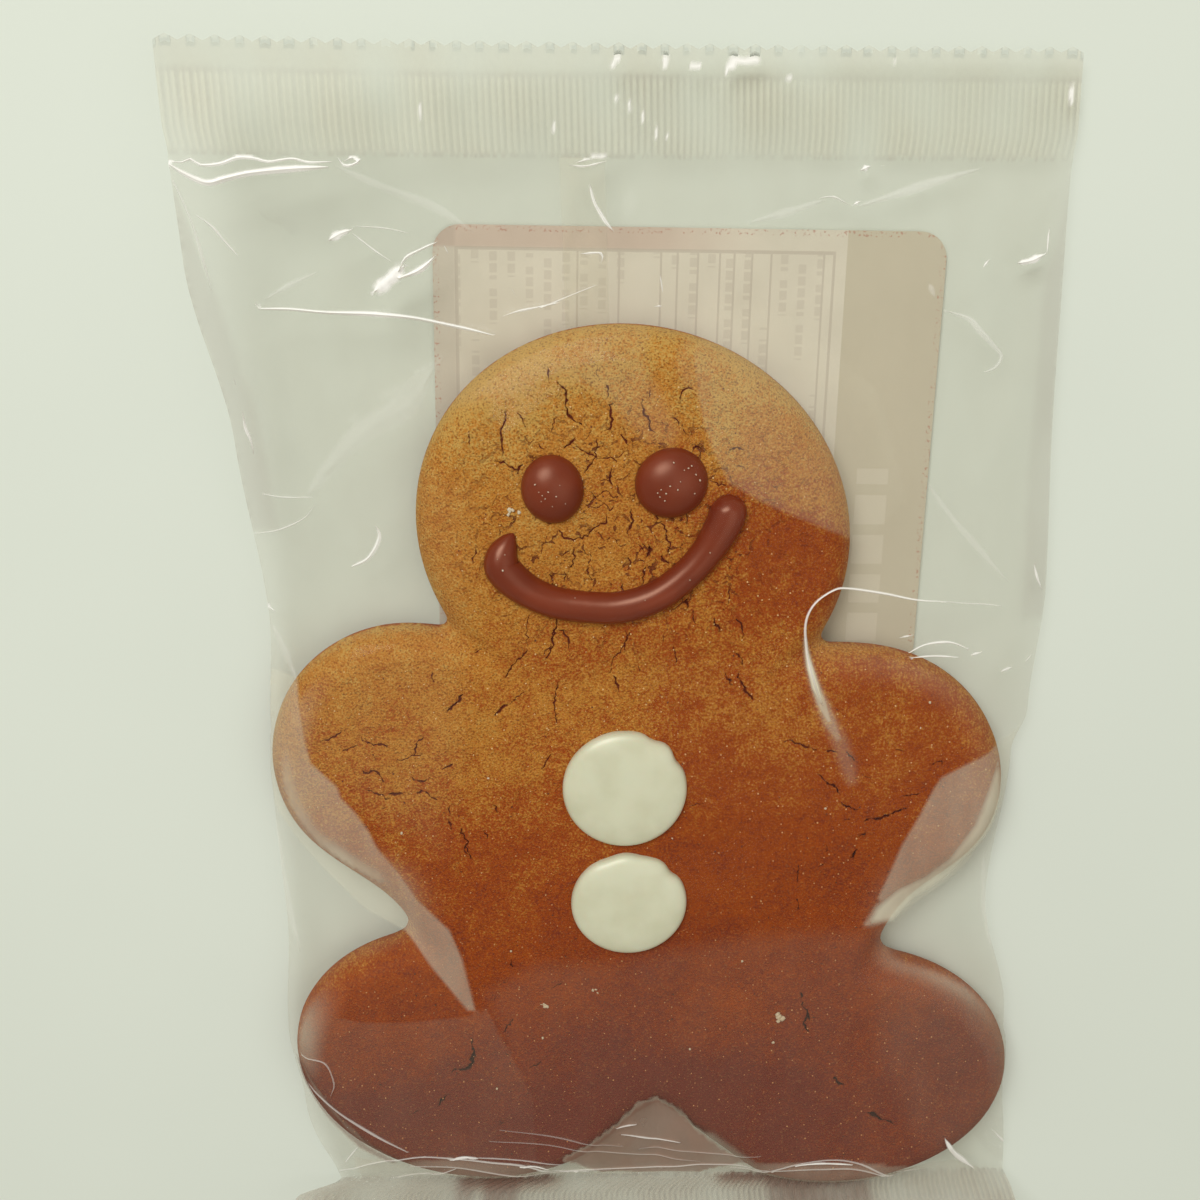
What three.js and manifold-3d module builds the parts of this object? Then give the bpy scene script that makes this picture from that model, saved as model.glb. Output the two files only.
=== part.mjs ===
// A gingerbread man sealed in a clear flow-wrap bag, lying on its back on the table.
// Millimetres, +Z up, +Y towards the head, +X to the right of the face as it is looked at.
// The origin is at the middle of the pack's footprint, on the surface that it lies on.
//
// Two solids: the filled bag, whose top shows the cookie through the drawn-down film, and the
// paper label stuck flat to its back.

import * as THREE from "three";
import { mergeVertices } from "three/addons/utils/BufferGeometryUtils.js";
import Module from "manifold-3d";

// ---- Driving dimensions of the pack ----

const SEAL_WIDTH = 126; // flat width of the tube of film, across both end seals
const FOLD_Y = -92.6; // crease at the foot end, on the pack's centre line
const FOLD_SKEW = -0.018; // how much that crease runs off square, in mm for each mm across
const SEAL_ROOT_Y = 80; // where the head-end seal starts, on the centre line
const SEAL_SKEW = -0.034; // the head-end seal runs off square too
const SEAL_DEPTH = 14.2; // from the root of the head-end seal to the valleys of its cut edge
const FLAP_DEPTH = 16.2; // the foot-end seal, folded up towards the face
const FLAP_LEAN = THREE.MathUtils.degToRad(12); // how far that flap leans away from the cookie
const RIDGE_PITCH = 1.86; // crimp ridges of the sealing jaws
const RIDGE_HEIGHT = 0.22;
const RIDGED_SHARE = 0.78; // share of a seal's depth that the jaws ridge; the rest is smooth
const TOOTH_PITCH = 3.15; // zigzag of the cut edges
const TOOTH_HEIGHT = 1.1;
const SEAL_THICKNESS = 0.7;
const SEAL_HEIGHT = 2.4; // of the head-end seal above the table, at its right end
const SEAL_CURL = 9.5; // how much higher its left end curls
const CURL_SHARPNESS = 2.6; // power by which that curl gathers at the left end
const EDGE_HEIGHT = 3; // of the side creases above the table
const FOOT_HEIGHT = 1.2; // of the crease at the foot end above the table
const FOOT_RISE = 12; // distance over which the side creases come down to that height
const EDGE_THICKNESS = 0.7;
const BACK_RISE = 9; // width of the strip along an edge where the back leaves the table
const BACK_CURVE = 1.5; // power by which that rise gathers at the edge

// The side creases: [y, left x, right x]. The film is slack beside the head, drawn in tight
// on both arms, and reaches a little wider again at the feet.
const CREASES = [
  [98, -63, 63],
  [68, -63, 62.2],
  [42, -61, 62],
  [15, -58.4, 62.6],
  [-5, -59.6, 61],
  [-12, -60.4, 58.8],
  [-38, -60.6, 57.8],
  [-60, -61.6, 60.4],
  [-94, -61.4, 62.6],
];

// ---- Driving dimensions of the cookie under the film ----

const COOKIE_TOP = 8.5; // height of the cookie's flat top above the table
const COOKIE_WAIST = 3.4; // height of its side's widest line
const SHOULDER = 5; // radius, across, of its rounded upper edge
const FILM_GAP = 0.35; // between the cookie's top and the outside of the film
const LIFT_OFF = 2.5; // the film leaves the cookie this far in from its edge
const LIFT_OFF_DROP = 0.4; // and this far below its top
const DRAPE_BLEND = 0.8; // roundness of the film where it lands on the cookie

// The outline is a smooth union of ellipses: centre, half axes and turn in degrees.
const HEAD = { x: -1, y: 26.1, a: 33.4, b: 30.5, turn: -25 };
const TORSO = { x: 0.6, y: -31.2, a: 39.4, b: 44.3, turn: 0 };
const LEFT_ARM = { x: -37.8, y: -9.1, a: 21.8, b: 21.1, turn: 48 };
const RIGHT_ARM = { x: 39, y: -13.2, a: 20.5, b: 16.8, turn: -55 };
const LEFT_LEG = { x: -30.4, y: -64.8, a: 30, b: 23.9, turn: -12 };
const RIGHT_LEG = { x: 31.5, y: -69.2, a: 29.2, b: 22.8, turn: 0 };
const NECK_BLEND = 5.3;
const ARM_BLEND = 15;
const LEG_BLEND = 4.6;

// The icing that holds the film up like tent poles: place, radius and height over the top.
const ICING = [
  { x: -12.9, y: 33.8, radius: 4.5, height: 3.2 }, // eyes
  { x: 4.6, y: 34.2, radius: 5, height: 3.6 },
  { x: -21, y: 23.3, radius: 2.5, height: 2.4 }, // corners and middle of the smile
  { x: -6, y: 16.3, radius: 2.5, height: 2.4 },
  { x: 12.5, y: 28.3, radius: 2.5, height: 2.6 },
  { x: -3.4, y: -14.4, radius: 9.2, height: 2.2 }, // buttons
  { x: -3.2, y: -34, radius: 8.6, height: 2.2 },
];
const TENT_SLOPE = 0.16; // fall of the film away from the icing, in mm for each mm
const TENT_BLEND = 1;

// ---- Driving dimensions of the label ----

const LABEL = { x: 6.2, y: 20.2, width: 75, length: 100, corner: 4, turn: -2.5 };
const LABEL_THICKNESS = 0.4;
const LABEL_GAP = 0.3; // to the walls of the recess that it lies in
const RECESS_START = -0.01; // the recess is cut from just under the table, for a clean edge

// ---- How finely the solids are divided ----

const COLUMNS = 30;
const ROWS = 36;
const EDGE_CROWDING = 0.4; // share of the division that gathers near the edges
const POINTS_PER_RIDGE = 2;
const LABEL_CURVE_STEPS = 6;
const MERGE_DISTANCE = 1e-4;
const TINY = 1e-6;

// ---- Distances and heights ----

const mix = THREE.MathUtils.lerp;
const clamp = THREE.MathUtils.clamp;

function smoothMin(a, b, blend) {
  const near = Math.max(blend - Math.abs(a - b), 0) / blend;
  return Math.min(a, b) - (near * near * blend) / 4;
}

function smoothMax(a, b, blend) {
  return -smoothMin(-a, -b, blend);
}

// Distance from an ellipse, negative inside, close enough to true near its edge.
function ellipseDistance(x, y, ellipse) {
  const turn = THREE.MathUtils.degToRad(ellipse.turn);
  const dx = x - ellipse.x;
  const dy = y - ellipse.y;
  const u = (dx * Math.cos(turn) + dy * Math.sin(turn)) / ellipse.a;
  const v = (dy * Math.cos(turn) - dx * Math.sin(turn)) / ellipse.b;
  const reach = Math.hypot(u, v) + TINY;
  const slope = Math.hypot(u / ellipse.a, v / ellipse.b) / reach;
  return (reach - 1) / Math.max(slope, TINY);
}

// Distance from the gingerbread man's outline, negative on the cookie.
function cookieDistance(x, y) {
  let distance = ellipseDistance(x, y, TORSO);
  distance = smoothMin(distance, ellipseDistance(x, y, LEFT_ARM), ARM_BLEND);
  distance = smoothMin(distance, ellipseDistance(x, y, RIGHT_ARM), ARM_BLEND);
  distance = smoothMin(distance, ellipseDistance(x, y, LEFT_LEG), LEG_BLEND);
  distance = smoothMin(distance, ellipseDistance(x, y, RIGHT_LEG), LEG_BLEND);
  return smoothMin(distance, ellipseDistance(x, y, HEAD), NECK_BLEND);
}

// Left and right crease at y, eased from one station to the next.
function creasesAt(y) {
  let station = 0;
  while (station < CREASES.length - 2 && y < CREASES[station + 1][0]) {
    station += 1;
  }
  const [yHigh, leftHigh, rightHigh] = CREASES[station];
  const [yLow, leftLow, rightLow] = CREASES[station + 1];
  const share = THREE.MathUtils.smoothstep(yHigh - y, 0, yHigh - yLow);
  return { left: mix(leftHigh, leftLow, share), right: mix(rightHigh, rightLow, share) };
}

function foldY(x) {
  return FOLD_Y + FOLD_SKEW * x;
}

function sealRootY(x) {
  return SEAL_ROOT_Y + SEAL_SKEW * x;
}

// The head-end seal's height above the table: its left end curls up.
function sealHeight(x) {
  const share = clamp((SEAL_WIDTH / 2 - x) / SEAL_WIDTH, 0, 1);
  return SEAL_HEIGHT + SEAL_CURL * share ** CURL_SHARPNESS;
}

// Height of the line where front and back film meet. It is low at the foot end, and the
// side creases carry the curl of the head-end seal.
function edgeHeight(x, y) {
  const foot = THREE.MathUtils.smoothstep(y, FOLD_Y, FOLD_Y + FOOT_RISE);
  const curl = THREE.MathUtils.smoothstep(y, 0, SEAL_ROOT_Y);
  return mix(mix(FOOT_HEIGHT, EDGE_HEIGHT, foot), sealHeight(x), curl);
}

function distanceToEdge(x, y) {
  const { left, right } = creasesAt(y);
  return Math.max(Math.min(x - left, right - x, y - foldY(x), sealRootY(x) - y), 0);
}

// How far the icing holds the film off the cookie's top.
function tentLift(x, y) {
  let lift = 0;
  for (const pole of ICING) {
    const away = Math.max(Math.hypot(x - pole.x, y - pole.y) - pole.radius, 0);
    lift = smoothMax(lift, pole.height - TENT_SLOPE * away, TENT_BLEND);
  }
  return lift;
}

// Height of the rounded cookie top at a distance in from the outline.
function cookieProfile(inside) {
  const share = clamp(inside / SHOULDER, 0, 1);
  return COOKIE_WAIST + (COOKIE_TOP - COOKIE_WAIST) * Math.sqrt(1 - (1 - share) ** 2);
}

// The film's outer skin on the face side: it hugs the cookie and spans from the cookie's
// shoulder to the nearest crease or seal.
function frontHeight(x, y) {
  const outside = cookieDistance(x, y);
  const edge = distanceToEdge(x, y);
  const rim = edgeHeight(x, y) + EDGE_THICKNESS / 2;
  const reach = edge / (edge + Math.max(outside + LIFT_OFF, 0) + TINY);
  const span = mix(rim, COOKIE_TOP - LIFT_OFF_DROP, reach);
  const resting = cookieProfile(-outside) + FILM_GAP;
  const held = outside < 0 ? smoothMax(span, resting, DRAPE_BLEND) : span;
  const overIcing = THREE.MathUtils.smoothstep(-outside, 0, 2 * SHOULDER);
  return Math.max(held + tentLift(x, y) * overIcing, rim);
}

// The back lies flat on the table and rises to the creases.
function backHeight(x, y) {
  const rim = edgeHeight(x, y) - EDGE_THICKNESS / 2;
  const edge = distanceToEdge(x, y);
  return rim * (1 - THREE.MathUtils.smoothstep(edge, 0, BACK_RISE)) ** BACK_CURVE;
}

// ---- Solids ----

// A closed solid between an upper and a lower sheet that share one grid of places.
function sheetSolid(columns, rows, upper, lower) {
  const positions = [];
  const index = [];
  const stride = columns + 1;
  for (const sheet of [upper, lower]) {
    for (let row = 0; row <= rows; row += 1) {
      for (let column = 0; column <= columns; column += 1) {
        positions.push(...sheet(column / columns, row / rows));
      }
    }
  }
  const under = stride * (rows + 1);
  const quad = (a, b, c, d) => index.push(a, b, c, a, c, d);
  for (let row = 0; row < rows; row += 1) {
    for (let column = 0; column < columns; column += 1) {
      const a = row * stride + column;
      quad(a, a + 1, a + 1 + stride, a + stride);
      quad(under + a + stride, under + a + 1 + stride, under + a + 1, under + a);
    }
  }
  for (let column = 0; column < columns; column += 1) {
    const last = rows * stride + column;
    quad(under + column, under + column + 1, column + 1, column);
    quad(last, last + 1, under + last + 1, under + last);
  }
  for (let row = 0; row < rows; row += 1) {
    const first = row * stride;
    const last = first + columns;
    quad(under + first + stride, under + first, first, first + stride);
    quad(last + stride, last, under + last, under + last + stride);
  }
  const geometry = new THREE.BufferGeometry();
  geometry.setAttribute("position", new THREE.Float32BufferAttribute(positions, 3));
  geometry.setIndex(index);
  return geometry;
}

// Even division with part of it gathered near both ends.
function crowded(share) {
  const even = 2 * share - 1;
  const gathered = Math.sin((Math.PI / 2) * even);
  return (1 + mix(even, gathered, EDGE_CROWDING)) / 2;
}

// The filled part of the bag, from the crease at the foot end to the head-end seal.
function bodySolid() {
  const sheet = (height) => (across, along) => {
    const share = crowded(along);
    const yMiddle = mix(FOLD_Y, SEAL_ROOT_Y, share);
    const { left, right } = creasesAt(yMiddle);
    const x = mix(left, right, crowded(across));
    const y = yMiddle + mix(FOLD_SKEW, SEAL_SKEW, share) * x;
    return [x, y, height(x, y)];
  };
  return sheetSolid(COLUMNS, ROWS, sheet(frontHeight), sheet(backHeight));
}

const SEAL_ROWS = [0, RIDGED_SHARE, 1]; // share of the depth
const SEAL_OVERLAP = 1.2; // how deep the head-end strip's root sits in the body
const FLAP_OVERLAP = 0.2;

// Rises from 0 to 1 and falls back over each whole turn.
function triangleWave(turns) {
  const share = turns - Math.floor(turns);
  return 1 - Math.abs(2 * share - 1);
}

// One end seal as a crimped strip. place(x, out, lift) says where a point of the strip is,
// from its distance out of the root and its height off the strip's middle sheet.
function sealSolid(overlap, depth, place) {
  const ridges = Math.round(SEAL_WIDTH / RIDGE_PITCH);
  const columns = ridges * POINTS_PER_RIDGE;
  const strip = (side) => (across, along) => {
    const x = (across - 0.5) * SEAL_WIDTH;
    const row = Math.round(along * (SEAL_ROWS.length - 1));
    const cutEdge = row === SEAL_ROWS.length - 1;
    const crest = Math.round(across * columns) % POINTS_PER_RIDGE === 0 ? -1 : 1;
    const tooth = TOOTH_HEIGHT * triangleWave(x / TOOTH_PITCH);
    const out = mix(-overlap, depth, SEAL_ROWS[row]) + (cutEdge ? tooth : 0);
    const ridge = cutEdge ? 0 : (crest * RIDGE_HEIGHT) / 2;
    const lift = ridge + (side * SEAL_THICKNESS) / 2;
    return place(x, out, lift);
  };
  return sheetSolid(columns, SEAL_ROWS.length - 1, strip(1), strip(-1));
}

function headSeal() {
  const place = (x, out, lift) => [x, sealRootY(x) + out, sealHeight(x) + lift];
  return sealSolid(SEAL_OVERLAP, SEAL_DEPTH, place);
}

// The foot-end seal stands up from the crease, leaning a little away from the cookie.
function footFlap() {
  const place = (x, out, lift) => [
    x,
    foldY(x) + SEAL_THICKNESS / 2 - out * Math.sin(FLAP_LEAN) - lift * Math.cos(FLAP_LEAN),
    FOOT_HEIGHT + out * Math.cos(FLAP_LEAN) - lift * Math.sin(FLAP_LEAN),
  ];
  return sealSolid(FLAP_OVERLAP, FLAP_DEPTH, place);
}

// A rectangle with rounded corners, as thick as asked, standing on the table.
function labelPlate(grow, thickness) {
  const halfWidth = LABEL.width / 2 + grow;
  const halfLength = LABEL.length / 2 + grow;
  const corner = LABEL.corner + grow;
  const outline = new THREE.Shape();
  for (const [sideX, sideY, start] of [[1, -1, -90], [1, 1, 0], [-1, 1, 90], [-1, -1, 180]]) {
    const from = THREE.MathUtils.degToRad(start);
    const x = sideX * (halfWidth - corner);
    const y = sideY * (halfLength - corner);
    outline.absarc(x, y, corner, from, from + Math.PI / 2);
  }
  const options = { depth: thickness, bevelEnabled: false, curveSegments: LABEL_CURVE_STEPS };
  const geometry = new THREE.ExtrudeGeometry(outline, options);
  geometry.rotateZ(THREE.MathUtils.degToRad(LABEL.turn));
  geometry.translate(LABEL.x, LABEL.y, 0);
  return geometry;
}

// ---- Joining and cutting ----

const wasm = await Module();
wasm.setup();

function toSolid(geometry) {
  const bare = geometry.clone();
  bare.deleteAttribute("normal");
  bare.deleteAttribute("uv");
  const merged = mergeVertices(bare, MERGE_DISTANCE);
  const vertProperties = merged.getAttribute("position").array;
  const triVerts = new Uint32Array(merged.getIndex().array);
  return new wasm.Manifold(new wasm.Mesh({ numProp: 3, vertProperties, triVerts }));
}

function toGeometry(solid) {
  const mesh = solid.getMesh();
  const geometry = new THREE.BufferGeometry();
  const positions = new THREE.BufferAttribute(mesh.vertProperties, 3);
  geometry.setAttribute("position", positions);
  geometry.setIndex(new THREE.BufferAttribute(mesh.triVerts, 1));
  geometry.computeVertexNormals();
  return geometry;
}

function bagGeometry() {
  const filled = toSolid(bodySolid()).add(toSolid(headSeal())).add(toSolid(footFlap()));
  const recess = labelPlate(LABEL_GAP, LABEL_THICKNESS + LABEL_GAP);
  recess.translate(0, 0, RECESS_START);
  return toGeometry(filled.subtract(toSolid(recess)));
}

// ---- The pack ----

function material(color, roughness) {
  return new THREE.MeshStandardMaterial({ color, roughness, metalness: 0 });
}

const bag = new THREE.Mesh(bagGeometry(), material(0xa8693a, 0.35));
bag.name = "bag";

const label = new THREE.Mesh(labelPlate(0, LABEL_THICKNESS), material(0xe6e0d0, 0.8));
label.name = "label";

const pack = new THREE.Group();
pack.add(bag, label);

// The flap, the curl and the teeth make the two ends unlike, so the pack is set on its middle.
const box = new THREE.Box3().setFromObject(pack, true);
const middle = box.getCenter(new THREE.Vector3());
pack.position.set(-middle.x, -middle.y, -box.min.z);

export default pack;
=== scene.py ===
"""A gingerbread man sealed in a clear flow-wrap bag, lying face up on a table.

Sizes are in millimetres unless a comment says metres, and meshes are turned to metres as they
are made.
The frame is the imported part's own: +Y towards the head, +X to the right of the face, +Z up.
"""

import math
from functools import lru_cache

import bmesh
import bpy
import numpy as np
from bpy.props import FloatProperty, FloatVectorProperty, PointerProperty
from mathutils import Matrix, Vector
from mathutils.geometry import delaunay_2d_cdt


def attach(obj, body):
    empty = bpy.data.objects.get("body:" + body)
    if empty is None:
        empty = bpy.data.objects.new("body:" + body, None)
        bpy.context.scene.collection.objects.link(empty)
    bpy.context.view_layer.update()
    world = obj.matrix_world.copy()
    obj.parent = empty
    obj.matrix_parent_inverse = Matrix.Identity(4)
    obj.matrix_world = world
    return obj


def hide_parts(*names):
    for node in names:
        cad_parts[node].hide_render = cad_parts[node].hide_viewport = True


bl_info = {
    "name": "Gingerbread Man in a Clear Bag",
    "version": (1, 0, 0),
    "blender": (4, 5, 0),
    "location": "View3D > Sidebar > Gingerbread",
    "description": "Builds a bagged gingerbread man around its packed frame",
    "category": "Mesh",
}

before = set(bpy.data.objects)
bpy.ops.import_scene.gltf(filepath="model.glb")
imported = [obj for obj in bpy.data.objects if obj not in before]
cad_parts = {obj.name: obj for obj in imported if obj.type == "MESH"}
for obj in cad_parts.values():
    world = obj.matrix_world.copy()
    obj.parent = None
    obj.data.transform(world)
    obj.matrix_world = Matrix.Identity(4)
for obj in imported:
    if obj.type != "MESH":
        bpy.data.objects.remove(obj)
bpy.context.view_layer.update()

MM = 0.001

# ---- The bag, as the solid frame has it ----

SEAL_WIDTH = 126.0
FOLD_Y, FOLD_SKEW = -92.6, -0.018
SEAL_ROOT_Y, SEAL_SKEW = 80.0, -0.034
SEAL_DEPTH, FLAP_DEPTH = 14.2, 16.2
FLAP_LEAN = math.radians(12)
SEAL_HEIGHT, SEAL_CURL, CURL_SHARPNESS = 2.4, 9.5, 2.6
EDGE_HEIGHT, FOOT_HEIGHT, FOOT_RISE = 3.0, 1.2, 12.0
BACK_RISE, BACK_CURVE = 9.0, 1.5
# The side creases: y, left x, right x.
CREASES = (
    (98, -63, 63),
    (68, -62.4, 62.2),
    (42, -59, 62),
    (15, -57.5, 62.6),
    (-5, -59.2, 61),
    (-12, -60, 58.8),
    (-38, -59.8, 56),
    (-60, -61.6, 60.4),
    (-74, -60, 61),
    (-94, -55.5, 62.6),
)

# ---- The cookie, as the solid frame has it ----

COOKIE_TOP, COOKIE_WAIST, SHOULDER = 8.5, 3.4, 5.0
FILM_GAP, LIFT_OFF, LIFT_OFF_DROP, DRAPE_BLEND = 0.35, 2.5, 0.4, 0.8
# Ellipses of the outline: centre, half axes and turn in degrees, with the blend that joins each.
TORSO = (0.6, -31.2, 39.4, 44.3, 0)
LIMBS = (
    ((-37.8, -9.1, 21.8, 21.1, 48), 15.0),
    ((39, -13.2, 20.5, 16.8, -55), 15.0),
    ((-30.4, -64.8, 30, 23.9, -12), 4.6),
    ((31.5, -69.2, 29.2, 22.8, 0), 4.6),
    ((-1, 26.1, 33.4, 30.5, -25), 2.8),
)
# Icing that holds the film up: x, y, radius and height over the top.
POLES = (
    (-12.9, 33.8, 4.5, 3.2),
    (4.6, 34.2, 5, 3.6),
    (-21, 23.3, 2.5, 2.4),
    (-6, 16.3, 2.5, 2.4),
    (12.5, 28.3, 2.5, 2.6),
    (-3.4, -14.4, 9.2, 2.2),
    (-3.2, -34, 8.6, 2.2),
)
TENT_SLOPE, TENT_BLEND = 0.16, 1.0

# The label on the back: centre, width, length, corner radius and turn.
LABEL_X, LABEL_Y, LABEL_WIDTH, LABEL_LENGTH, LABEL_CORNER = 6.2, 20.2, 75.0, 100.0, 4.0
LABEL_TURN = math.radians(-2.5)
LABEL_RULES = (-16.4, -10.3, -4.2, -1.8, 1.2, 4.4, 6.5, 9.1, 11.9, 19.6)  # thin printed lines across it

# ---- What only shows close up ----

CROTCH = (0.8, -74.6, 0.88)  # point of the notch between the legs and the slope of its sides
COOKIE_BASE = 0.8  # underside above the table, with film and label below it
LOWER_ROUND = 3.0  # rounding of the cookie's lower edge
SHEET_GAP = 0.06  # half the air between the two sheets in a seal
SIDE_CLEARANCE = 0.5  # of the film's sides from the cookie
UNDER_GAP = 0.25  # from the cookie's underside down to the back sheet
OVER_LABEL, OVER_TABLE = 0.52, 0.08  # heights of the back sheet where it lies flat
# Swells of the slack front sheet: height, stretch along y, wavelength and seed.
SWELLS = ((0.55, 1.6, 15, 1), (0.2, 1.4, 6, 2))
CRACK_HALF, CRACK_STEP = 0.045, 0.048  # half width of a crack, and what each step of its size adds
HEAD_RISE = 14.0  # how much slower the back sheet rises to the head seal than to the sides
LAP_EDGES = (-10.2, -3.9)  # of the lap seam down the back
LAP_STEP, LAP_HEIGHT = 0.15, 0.06  # how wide and high the step at its edges is
OUTLINE_STEP = 0.65  # from point to point round the cookie
TOP_RINGS = (0.12, 0.45, 1.0, 1.7)  # rows of points round the cookie's top, by their distance inside
LOWER_RINGS = ((0.15, 1), (0.5, 1), (1.2, 2), (2.2, 2))  # the same below, and which points are kept
RIM_CENTRE = (0, -6)  # the rows of points inside the film's rim shrink towards here
FRONT_RINGS, BACK_RINGS = (0.004, 0.01, 0.02), (0.006, 0.014, 0.025)  # by how much each has shrunk
CLUMP_LENGTH, CLUMP_PARTS = 0.8, 7  # a sugar fleck from this length up is a clump of that many lumps
SIDE_POINTS, SEAL_ROWS, RIDGE_COLUMNS = 240, 21, 6  # along a side, up a seal and to each ridge of it
FOLD_STRIPS = (-1, -0.4, 0, 0.4, 1)  # lines of points along a fold, in half widths from its middle
TABLE_WIDTH, TABLE_DROP = 5.0, 0.3  # its width in metres, and how far it lies under the pack
CAMERA_AIM = (-6.4, 14.2, 0)  # point that the camera looks at
SEED = 11

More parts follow.
